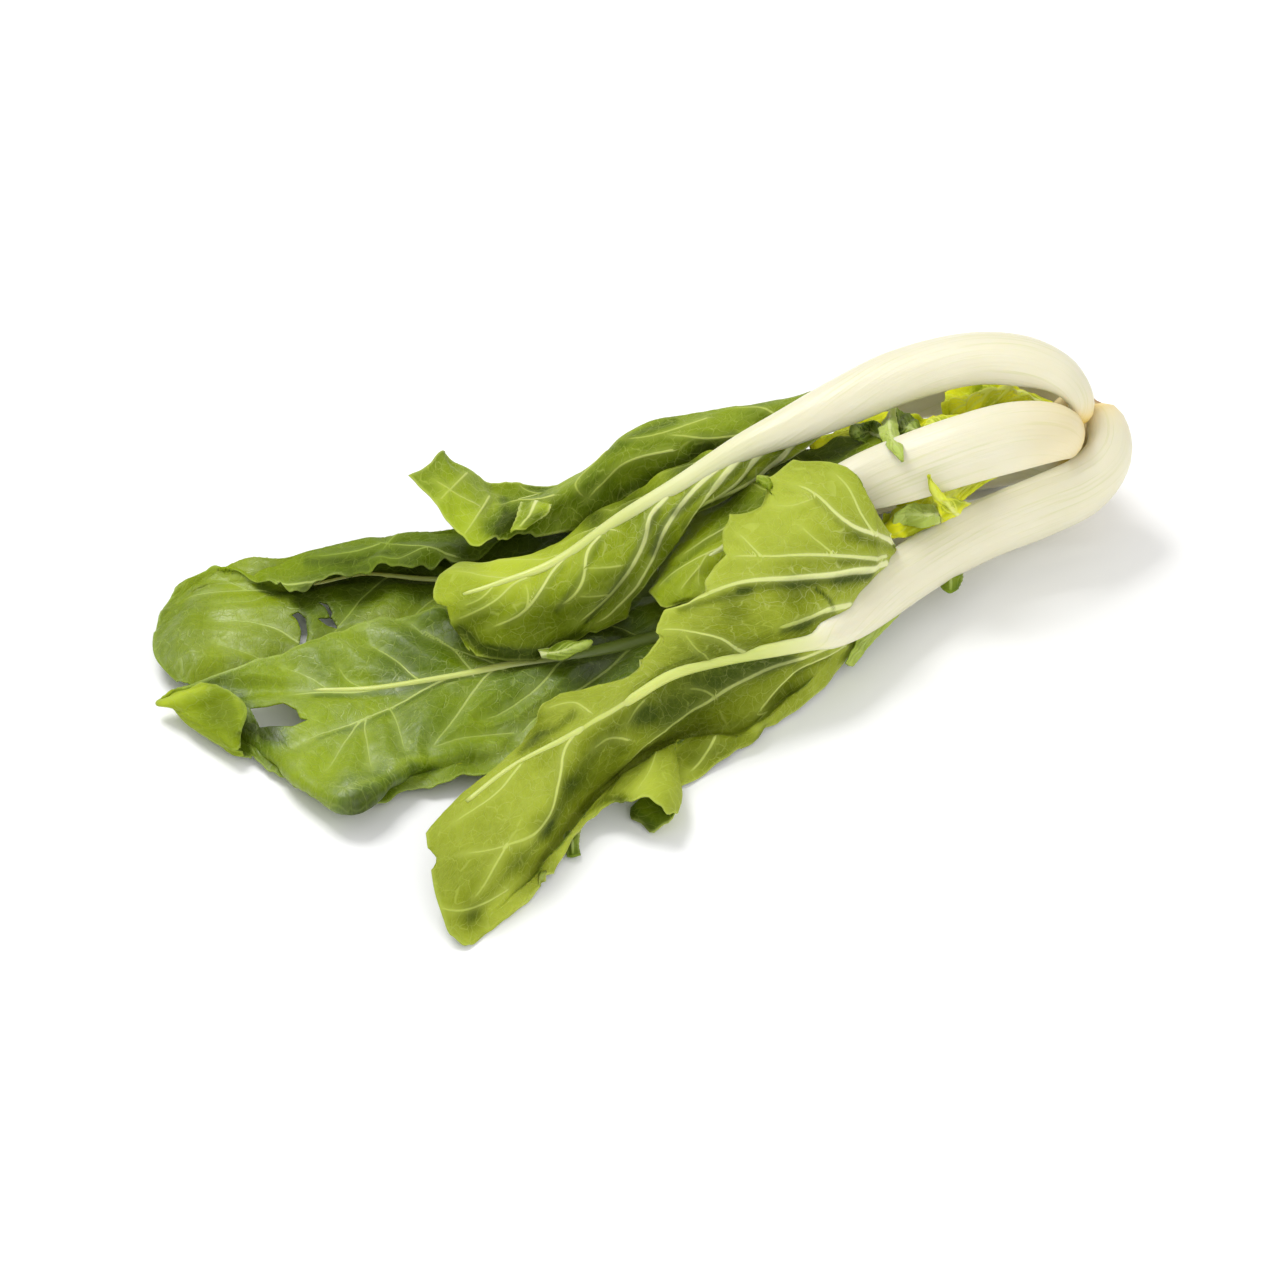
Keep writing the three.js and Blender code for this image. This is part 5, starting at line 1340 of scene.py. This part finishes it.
def vein_field(sheet, normal, ways):
    """For each vertex of a sheet: the height of the ridge (0 to 1), and of the nearest vein the
    signed distance, the width and the whiteness. The width falls to 0 away from the vein, so
    that no line shows where one vein stops being the nearest and another one starts.

    Over the distance d from a vein of width w the ridge is exp(-(d / (0.6 + 0.55 w))2). The sign
    turns over from one vein of the list to the next, so that neighbours agree between them.
    """
    points = sheet.reshape(-1, 3)
    normal = normal.reshape(-1, 3)
    ridge = np.zeros(len(points))
    side = np.full(len(points), 40.0)
    wide = np.zeros(len(points))
    white = np.zeros(len(points))
    low, high = points.min(0), points.max(0)
    for order, (start_width, end_width, start_white, way) in enumerate(ways):
        count = len(way) - 1
        for k in range(count):
            start, step = way[k], way[k + 1] - way[k]
            if np.any(start < low - 5) or np.any(start > high + 5):
                continue
            t = np.clip((points - start) @ step / max(step @ step, 1e-9), 0, 1)
            away = points - start - t[:, None] * step
            above = np.einsum("ij,ij->i", away, normal)
            flat = np.sum(away * away, axis=-1) - above**2
            off = np.sqrt(np.maximum(flat, 0) + np.maximum(np.abs(above) - 1.2, 0) ** 2)
            done = (k + t) / count
            width = start_width + (end_width - start_width) * done
            shape = np.exp(-((off / (0.6 + 0.55 * width)) ** 2)) * ease(1.0, 0.75, done)
            ridge = np.maximum(ridge, shape * np.minimum(width + 0.5, 2) / 2)
            near = np.flatnonzero(off < np.abs(side))
            turn = np.einsum("ij,ij->i", np.cross(step, away[near]), normal[near])
            side[near] = np.where(turn < 0, -1, 1) * (-1) ** order * off[near]
            wide[near] = (width * ease(1.01, 0.9, done) * ease(2.6, 1.4, off))[near]
            white[near] = start_white * (1 - done[near])
    return [values.reshape(sheet.shape[:2]) for values in (ridge, side, wide, white)]


# %% Two faces and a rim
def kept_cells(points, holes):
    """Which cells of a sheet are left once the holes are cut, and the sheet with the edge
    vertices of each hole pulled onto its outline."""
    view = as_seen(points)
    centre = (points[:-1, :-1] + points[1:, :-1] + points[:-1, 1:] + points[1:, 1:]) / 4
    centre_view = as_seen(centre)
    keep = np.ones(centre.shape[:2], bool)
    for low, high, outline in holes:
        cut = inside(centre_view[..., :2], outline) & (centre[..., 2] > low) & (centre[..., 2] < high)
        keep &= ~cut
        beside_cut = np.zeros(points.shape[:2], bool)
        beside_kept = np.zeros(points.shape[:2], bool)
        for di in (0, 1):
            for dj in (0, 1):
                rows = slice(di, di + cut.shape[0])
                columns = slice(dj, dj + cut.shape[1])
                beside_cut[rows, columns] |= cut
                beside_kept[rows, columns] |= ~cut
        edge = beside_cut & beside_kept
        off = pull_to_outline(view[edge][:, :2], outline) - view[edge][:, :2]
        points[edge] += off[:, :1] * np.array([1.0, 0, 0]) + off[:, 1:] * VIEW_UP
    return keep


def sheet_faces(keep, flip):
    """Faces of a closed sheet over the kept cells: upper, lower and rim, all facing out."""
    rows, columns = keep.shape
    count = (rows + 1) * (columns + 1)
    i, j = np.nonzero(keep)
    first = i * (columns + 1) + j
    upper = np.stack([first, first + columns + 1, first + columns + 2, first + 1], -1)
    padded = np.pad(keep, 1)
    rims = []
    for place, (di, dj) in enumerate(((0, -1), (1, 0), (0, 1), (-1, 0))):
        open_side = ~padded[i + 1 + di, j + 1 + dj]
        start, end = upper[open_side, place], upper[open_side, (place + 1) % 4]
        rims.append(np.stack([end, start, start + count, end + count], -1))
    faces = np.concatenate([upper, upper[:, ::-1] + count, *rims])
    return faces[:, ::-1] if flip else faces


def two_faces(middle, normal, upper, lower):
    """Points of both faces of a sheet, this far off its middle, pressed flat on the table."""
    points = np.concatenate([
        (middle + normal * upper[..., None]).reshape(-1, 3),
        (middle - normal * lower[..., None]).reshape(-1, 3),
    ])
    points[:, 2] = np.maximum(points[:, 2], 0)
    return points


def twice(values):
    """The values of a sheet for the vertices of its upper face and of its lower face."""
    return np.concatenate([values.reshape(-1)] * 2)


def skin_attributes(seed, along, across, veins, net, margin, tone, under_up):
    """What the leaf skin reads at each vertex; with under_up the upper face is a leaf's back."""
    side, wide, white = veins
    under = np.repeat([1.0, 0.0] if under_up else [0.0, 1.0], across.size)
    return {
        "place": np.stack([twice(along), twice(across), under * 40 + seed], -1),
        "vein_side": twice(np.clip(side, -5, 5)),
        "vein_width": twice(wide),
        "white": twice(white),
        "net": twice(net),
        "margin": twice(margin),
        "underside": under,
        "tone": twice(np.clip(tone, -1, 1)),
    }


def drop_unused(points, faces, attributes):
    """The same mesh without the vertices that no face uses."""
    used, numbered = np.unique(faces, return_inverse=True)
    return points[used], numbered.reshape(faces.shape), {k: v[used] for k, v in attributes.items()}


# %% A whole blade
SHEET = 0.5  # thickness of a blade, in mm
RIDGE = 0.55  # height of the widest veins
CELL_SIZE = 7.5
RULE_VEIN = (0.7, 0.35, 0.1)  # widths at the rib and at the end, and whiteness

# How strongly each blade is crinkled, and how far it bulges between its veins, in mm.
CRINKLE = {"upper": 0.7, "middle": 0.9, "front": 0.7, "back": 0.8, "lower_back": 1.0, "lower_front": 1.1}
BULGE = {"upper": 2.0, "middle": 1.3, "front": 1.9, "back": 1.4, "lower_back": 1.6, "lower_front": 2.0}


def painted_light_and_shade(name, view):
    """How much painted shade and painted light change the tone of a blade at each vertex, by their patches
    and lines.
    """
    change = np.zeros(view.shape[:2])
    for across, up, reach, amount in PAINTED_LIGHT_AND_SHADE_PATCHES[name]:
        off = np.hypot(view[..., 0] - across, view[..., 1] - up)
        change += amount * np.exp(-((off / reach) ** 2))
    for reach, amount, line in PAINTED_LIGHT_AND_SHADE_LINES[name]:
        change += amount * np.exp(-((off_line(view[..., :2], line) / reach) ** 2))
    return change


def blade(name):
    """The piece for one blade, with its veins, crinkles and holes."""
    leaf = BLADES[name]
    seed = sorted(BLADES).index(name) + 10
    under_up = leaf["under_up"]
    net, base, along, across = lay_out(leaf, leaf["rows"], leaf["size"], MARGINS.get(name, []))
    flat = np.stack([along, across], -1)
    out_share, to_margin = to_edges(along, across)
    normal = normals(base, leaf["up"])
    view = as_seen(base)
    ways = [(start, end, white, line_in_view(line, base.reshape(-1, 3), view.reshape(-1, 3)))
            for start, end, white, line in VEINS[name]]
    ways += [(*RULE_VEIN, side_vein(leaf, net, row, side)) for row, side in SIDE_VEINS[name]]
    ridge, *veins = vein_field(base, normal, ways)

    off_rib = np.abs(across)
    cell_gap = cells(flat, CELL_SIZE, seed)
    bulge = BULGE[name] * (1 - np.exp(-((veins[0] / 5) ** 2))) * ease(0, 6, off_rib)
    quilt = 0.14 * ease(0, 2.2, cell_gap)
    soft = 0.7 * waves(flat, 38, seed) + 0.2 * waves(flat, 16, seed + 1)
    ruffle = 0.6 * waves(flat, 14, seed + 2) * ease(0.6, 1, out_share)
    to_top = -1 if under_up else 1
    lift = CRINKLE[name] * (to_top * (bulge + quilt) + soft + ruffle)
    lift = lift * ease(0, 14, along) * ease(0, 5, off_rib)
    middle = base + normal * lift[..., None]
    normal = normals(middle, leaf["up"])
    middle[..., 2] = np.maximum(middle[..., 2], SHEET / 2)
    keep = kept_cells(middle, HOLES.get(name, []))

    half = SHEET * (0.55 + 0.45 * ease(0, 2, to_margin)) / 2
    stands_out = half + RIDGE * ridge
    sinks_in = half - RIDGE / 2 * ridge
    upper, lower = (stands_out, sinks_in) if under_up else (sinks_in, stands_out)
    points = two_faces(middle, normal, upper, lower)

    net_lines = 0.5 * (1 - ease(0, 1.1, cell_gap))
    margin = 1 - ease(0.2, 1.1, to_margin)
    # the leaf's own mottling, plus painted light and painted shade
    tone = 0.5 + 0.2 * waves(flat, 60, seed + 3) + painted_light_and_shade(name, view)
    attributes = skin_attributes(seed, along, across, veins, net_lines, margin, tone, under_up)
    faces = sheet_faces(keep, leaf["up"] < 0)
    points, faces, attributes = drop_unused(points, faces, attributes)
    finish = LEAF_FINISHES[name]
    return make_piece(f"{name}_blade", points, faces, attributes, finish, f"blade_{name}")


blade_pieces = [blade(name) for name in BLADES]

# %% [markdown]
# ## The heart leaves
# Between the stalks sit small young leaves, bright yellow-green and tightly crumpled. They are
# made as the blades are, from nets of three columns, with strong short waves and no listed
# veins: a rib in the middle and, on all but the shortest, side veins by rule.

# %% Nets of the heart leaves, from the butt to the tip
HEART_LEAVES = {
    "high": [
        [[126, 70, 33], [126, 68, 34], [126, 66, 33]],
        [[116, 75.5, 36], [115.5, 73, 38.5], [116, 70, 37]],
        [[107, 79, 38], [106, 73.5, 42], [106, 67, 40]],
        [[98, 77.5, 39], [97, 71.5, 42], [98, 65.5, 40]],
        [[92, 73, 38], [91, 69.5, 39.5], [92, 66, 38]],
    ],
    "middle": [
        [[124, 65, 30], [124, 63, 31], [124, 61, 32]],
        [[106, 66, 29], [104, 62, 31], [104, 58, 32]],
        [[92, 66, 31], [91, 61, 33.5], [91, 56.5, 32.5]],
        [[79, 67, 35.5], [78, 61.5, 38.5], [79, 56, 35.5]],
        [[66, 66, 36], [65, 62, 38], [66, 57.5, 36]],
        [[52, 60, 33.5], [51, 58, 34], [52, 56, 33]],
    ],
    "low": [
        [[122, 57, 33], [122, 56, 32], [122, 55, 31]],
        [[109, 53.5, 33], [109, 51.5, 32], [109, 50, 31]],
        [[97, 49, 31], [97, 45.5, 30], [97, 42, 28]],
        [[84, 43.5, 30], [84, 37.5, 29.5], [84, 32, 25]],
        [[73, 38, 28], [71.5, 34, 28.5], [73, 30, 26]],
    ],
}


# Smaller ones that the solids leave out, with their finish and the place that they lie at.
SMALL_LEAVES = {
    "pointed": ("young", [
        [[72.5, 66, 43], [75, 68.5, 45], [76.5, 69, 44]],
        [[71.8, 62, 47], [75, 62.5, 50], [78, 61.5, 49]],
        [[74, 58, 52], [76.6, 58, 54], [78.8, 58, 54]],
        [[78, 54, 56], [78.6, 53.8, 56.5], [79.2, 54, 56.2]],
    ]),
    "dark": ("dark", [
        [[85.5, 60.5, 47], [85.2, 61.5, 48], [84.6, 63, 47]],
        [[81.5, 59, 45], [81.5, 63, 47], [82.5, 66, 44]],
        [[78.5, 59, 43], [78.5, 64, 44], [79.5, 68.3, 41]],
        [[76.8, 64, 40], [76.6, 67, 41], [77, 69.6, 39]],
    ]),
    "curled": ("dark", [
        [[74, 58, 43], [72.8, 61, 45.5], [72, 65, 44]],
        [[70.5, 57.8, 41], [69, 62, 39], [70, 66, 42]],
        [[66.5, 59.5, 42], [65.5, 62.5, 44], [66.5, 65, 43]],
        [[64, 61.5, 41], [63.6, 63.2, 42], [64, 64.8, 41]],
    ]),
    "lobed": ("heart", [
        [[97, 63.8, 51], [98.5, 65.2, 52], [100, 66, 50.5]],
        [[93, 62.3, 50], [94, 65, 52.5], [95.5, 67.5, 50.5]],
        [[88.5, 61.2, 49], [89, 64.5, 51.5], [90.5, 68, 49]],
        [[85.8, 62.6, 48], [86, 64, 49], [87.2, 66.3, 48]],
    ]),
    "spike": ("heart", [
        [[90.2, 35, 27], [95, 38, 30], [99.3, 41.3, 31]],
        [[89.8, 38.5, 33], [92.6, 40.5, 37.5], [95.5, 41.8, 38]],
        [[87.8, 43.5, 44], [88.8, 44, 46.5], [90.3, 44.2, 46]],
        [[86, 49.3, 51.5], [86.4, 49.5, 52], [87, 49.2, 51.8]],
    ]),
    "crumpled": ("young", [
        [[90, 35, 28], [89.8, 38, 31], [88.5, 40.6, 33]],
        [[85, 33.7, 28], [84.6, 37.5, 32], [84.5, 41.3, 34]],
        [[80, 35.3, 28], [79.6, 38, 31.5], [80, 40.6, 34]],
        [[75.5, 33.5, 28], [75.6, 35.5, 30], [76.4, 38, 32]],
    ]),
    "under_stalk": ("dark", [
        [[88, 22, 12], [92, 23, 12], [97, 22.5, 12]],
        [[89, 18, 10.5], [93, 18.3, 11], [97, 18.8, 10.5]],
        [[90.8, 15, 9], [93, 13.8, 8.6], [95.5, 15.3, 9]],
    ]),
    "strip": ("young", [
        [[80, 13.6, 10], [80.4, 12, 9], [80.6, 10.6, 8]],
        [[72, 8, 8.5], [73, 5.6, 7], [74, 3.8, 5.5]],
        [[65.5, 1, 7], [67.5, -0.6, 5], [69, -1.6, 4]],
        [[61, -7, 5], [62.4, -8, 3.6], [63.8, -8, 3]],
    ]),
    "dark_tab": ("dark", [
        [[-23.4, -57, 3.5], [-20.5, -57, 4], [-17.5, -56, 4]],
        [[-22.9, -61, 2.6], [-20.3, -61, 3], [-18.2, -60.5, 2.6]],
        [[-22, -65, 1.2], [-20, -65.2, 1.5], [-17.8, -64.6, 1.2]],
    ]),
    "back_flap": ("flap", [
        [[-36, 41.8, 30], [-31, 41.4, 31.5], [-26.4, 40.4, 30.5]],
        [[-37.4, 37.2, 30.5], [-33, 37.6, 32], [-28, 37.4, 30.5]],
        [[-38.9, 32.2, 29], [-37, 32.8, 30], [-34.5, 33.6, 29.5]],
    ]),
    "upper_lip": ("lip", [
        [[-30.5, -3.6, 15.2], [-29.6, -4.6, 15.4], [-29, -5.4, 15]],
        [[-23.3, -0.6, 17], [-23.3, -3.3, 18], [-23.3, -6, 16.6]],
        [[-18, 0, 18], [-18, -2, 19], [-18.4, -3.6, 18]],
        [[-14.8, -0.2, 18.5], [-14.5, -0.5, 18.8], [-14.4, -1, 18.5]],
    ]),
}
SMALL_FINISHES = {
    "heart": heart_finish,
    "young": young_finish,
    "lip": LEAF_FINISHES["lower_back"],
    "flap": LEAF_FINISHES["back"],
    "dark": leaf_material(
        "dark leaf", Under_dark=rgb(52, 76, 2), Under_light=rgb(112, 132, 14),
        Vein_colour=rgb(130, 152, 50)),
}


# %% Making the heart leaves
HEART_LEAF = {"rib": 1, "lobes": 6}
HEART_CELL_SIZE = 4.5
HEART_SIZE = (90, 40)  # vertices along and across
SMALL_SIZE = (60, 30)
SMALL_CRUMPLE = 0.35  # the small leaves' crumple as a share of the heart leaves'
LEAST_VEINED = 14  # mm; shorter leaves have no side veins


def heart_leaf(name, rows, finish, node, size, crumple):
    """The piece for one small leaf: a crumpled sheet with a rib and side veins."""
    seed = sum(ord(letter) for letter in name)
    net, base, along, across = lay_out(HEART_LEAF, rows, size)
    flat = np.stack([along, across], -1)
    to_margin = to_edges(along, across)[1]
    normal = normals(base, 1)
    facing = np.sign(np.mean((normal * (EYE - HEAD_CENTRE - base)).sum(-1)))
    normal = normal * facing
    last = len(rows) - 1
    rib = on_net(HEART_LEAF, net, np.linspace(0, last - 0.1, 30), np.full(30, 1.0))
    ways = [(1.2, 0.5, 0.6, rib)]
    if along[-1, 0] > LEAST_VEINED:
        ways += [(0.7, 0.35, 0.2, side_vein(HEART_LEAF, net, row, side))
                 for row in np.arange(0.3, last - 0.8, 0.6) for side in (-1, 1)]
    ridge, *veins = vein_field(base, normal, ways)

    cell_gap = cells(flat, HEART_CELL_SIZE, seed)
    lift = 1.3 * waves(flat, 13, seed) + 0.6 * waves(flat, 6, seed + 1) + 0.5 * ease(0, 1.5, cell_gap)
    lift = lift - 0.8 * (1 - np.exp(-((veins[0] / 2.5) ** 2)))
    fade = ease(0, 20, along) if node else 1.0
    middle = base + normal * (crumple * lift * fade)[..., None]
    normal = normals(middle, facing)
    offset = SHEET / 2 + 0.3 * ridge
    points = two_faces(middle, normal, offset, offset)

    net_lines = 0.5 * (1 - ease(0, 0.9, cell_gap))
    margin = 1 - ease(0.2, 1.0, to_margin)
    tone = 0.45 + 0.35 * waves(flat, 14, seed + 3) + 0.3 * ease(-0.5, 1.5, lift)
    attributes = skin_attributes(seed, along, across, veins, net_lines, margin, tone, True)
    faces = sheet_faces(np.ones((size[0] - 1, size[1] - 1), bool), facing < 0)
    return make_piece(f"{name}_heart_leaf", points, faces, attributes, finish, node)


heart_pieces = [
    heart_leaf(name, rows, heart_finish, f"heart_leaf_{name}", HEART_SIZE, 1.0)
    for name, rows in HEART_LEAVES.items()
]
small_pieces = [
    heart_leaf(name, rows, SMALL_FINISHES[finish], None, SMALL_SIZE, SMALL_CRUMPLE)
    for name, (finish, rows) in SMALL_LEAVES.items()
]

# %% [markdown]
# ## The butt
# All stalks meet in a short stub, cut across and dried to a dull tan. Its cut face looks away
# from the eye. It is a profile turned about a straight axis, a little uneven round it.

# %% The butt's finish and mesh
BUTT_CUT_FACE = (132, 67, 31.5)
BUTT_INNER_END = (127.5, 61, 34)
BUTT_RADII = (8.6, 9, 9.4, 9.2, 7.6, 4.5)
BUTT_SIDES = 96
BUTT_RINGS = 40
CUT_RINGS = 6  # the first rings, which lie in the cut face


def butt_material():
    """Dull tan with darker rings, browner towards the rim of the cut."""
    material, tree, shader = principled("cut butt", 0.25, (1.0, 0.7, 0.4), 0.003)
    place = attribute(tree, "place", "Vector")
    cloud = noise(tree, place, 0.25, 5, 0.65)
    colour = mix_colour(tree, cloud, rgb(176, 146, 92), rgb(226, 210, 158))
    colour = mix_colour(tree, attribute(tree, "rim"), colour, rgb(150, 112, 64))
    tree.links.new(colour, shader.inputs["Base Color"])
    tree.links.new(map_range(tree, cloud, 0.3, 0.7, 0.55, 0.8), shader.inputs["Roughness"])
    add_bump(tree, shader, cloud, 0.6, 0.0006)
    return material


def make_butt():
    """A tube of rings with radii through BUTT_RADII, closed flat at the cut and round inside."""
    start, end = seen(BUTT_CUT_FACE), seen(BUTT_INNER_END)
    axis = unit(end - start)
    side = unit(np.cross(axis, [0, 0, 1]))
    up = np.cross(side, axis)
    share = np.linspace(0, 1, BUTT_RINGS)
    radius = catmull(share * (len(BUTT_RADII) - 1), len(BUTT_RADII)) @ np.array(BUTT_RADII)
    radius[:CUT_RINGS] *= np.sqrt(np.linspace(0.0, 1, CUT_RINGS)) * 0.92 + 0.08
    cut = share[CUT_RINGS - 1]
    place = np.where(np.arange(BUTT_RINGS) < CUT_RINGS, 0, (share - cut) / (1 - cut))
    angle = np.linspace(0, 2 * math.pi, BUTT_SIDES, endpoint=False)
    uneven = 1 + 0.05 * np.sin(5 * angle + 1) + 0.03 * np.sin(11 * angle)
    ring = np.cos(angle)[:, None] * side + np.sin(angle)[:, None] * up
    centres = start + place[:, None] * (end - start)
    points = centres[:, None] + ring * (radius[:, None] * uneven)[..., None]
    poles = np.stack([centres[0], centres[-1]])
    quads, triangles = tube_faces(BUTT_RINGS, BUTT_SIDES)
    points = np.concatenate([points.reshape(-1, 3), poles])
    number = np.arange(BUTT_RINGS)
    rim = np.concatenate([np.repeat(ease(0, 4, number) * ease(12, 5, number), BUTT_SIDES), [0, 0]])
    attributes = {"place": points, "rim": rim}
    return make_piece("cut_butt", points, quads, attributes, butt_material(), "butt", triangles)


butt_piece = make_butt()

# %% [markdown]
# ## Floor and light
# The head lies on a plain white table in soft light: a lamp high up behind it on the left, a
# broader and weaker one in front on the right, and a bright room all round, so that no shadow
# is hard.


# %% Floor
def make_floor():
    """A square of pale floor, far larger than the view."""
    material = bpy.data.materials.new("pale floor")
    material.use_nodes = True
    shader = material.node_tree.nodes["Principled BSDF"]
    shader.inputs["Base Color"].default_value = (0.93, 0.93, 0.93, 1)
    shader.inputs["Roughness"].default_value = 0.9
    shader.inputs["Specular IOR Level"].default_value = 0.1
    mesh = bpy.data.meshes.new("floor")
    reach = 4.0
    corners = [(-reach, -reach, 0), (reach, -reach, 0), (reach, reach, 0), (-reach, reach, 0)]
    mesh.from_pydata(corners, [], [(0, 1, 2, 3)])
    mesh.materials.append(material)
    floor = bpy.data.objects.new("floor", mesh)
    floor.location.z = -0.0003
    bpy.context.scene.collection.objects.link(floor)
    return floor


floor = make_floor()


# %% Lamps and room
def lamp(name, place, size, power, target=(0, 0, 0.02)):
    """A square area lamp that looks at a target."""
    data = bpy.data.lights.new(name, "AREA")
    data.size = size
    data.energy = power
    made = bpy.data.objects.new(name, data)
    made.location = place
    direction = np.array(target) - np.array(place)
    flat = math.hypot(direction[0], direction[1])
    made.rotation_euler = (math.atan2(flat, -direction[2]), 0, math.atan2(-direction[0], direction[1]))
    bpy.context.scene.collection.objects.link(made)
    return made


key_lamp = lamp("key lamp", (-0.5, 0.5, 1.2), 0.6, 12.5)
fill_lamp = lamp("fill lamp", (0.6, -1.1, 0.7), 1.2, 9)
world = bpy.data.worlds.new("room")
world.use_nodes = True
world.node_tree.nodes["Background"].inputs["Color"].default_value = (1, 1, 1, 1)
world.node_tree.nodes["Background"].inputs["Strength"].default_value = 0.7
bpy.context.scene.world = world
bpy.context.scene.view_settings.view_transform = "Standard"
print("lamps:", key_lamp.name, "and", fill_lamp.name)

# %% All the finished pieces, counted
made = [*stalk_pieces, *blade_pieces, *heart_pieces, *small_pieces, butt_piece]
print("pieces:", len(made))
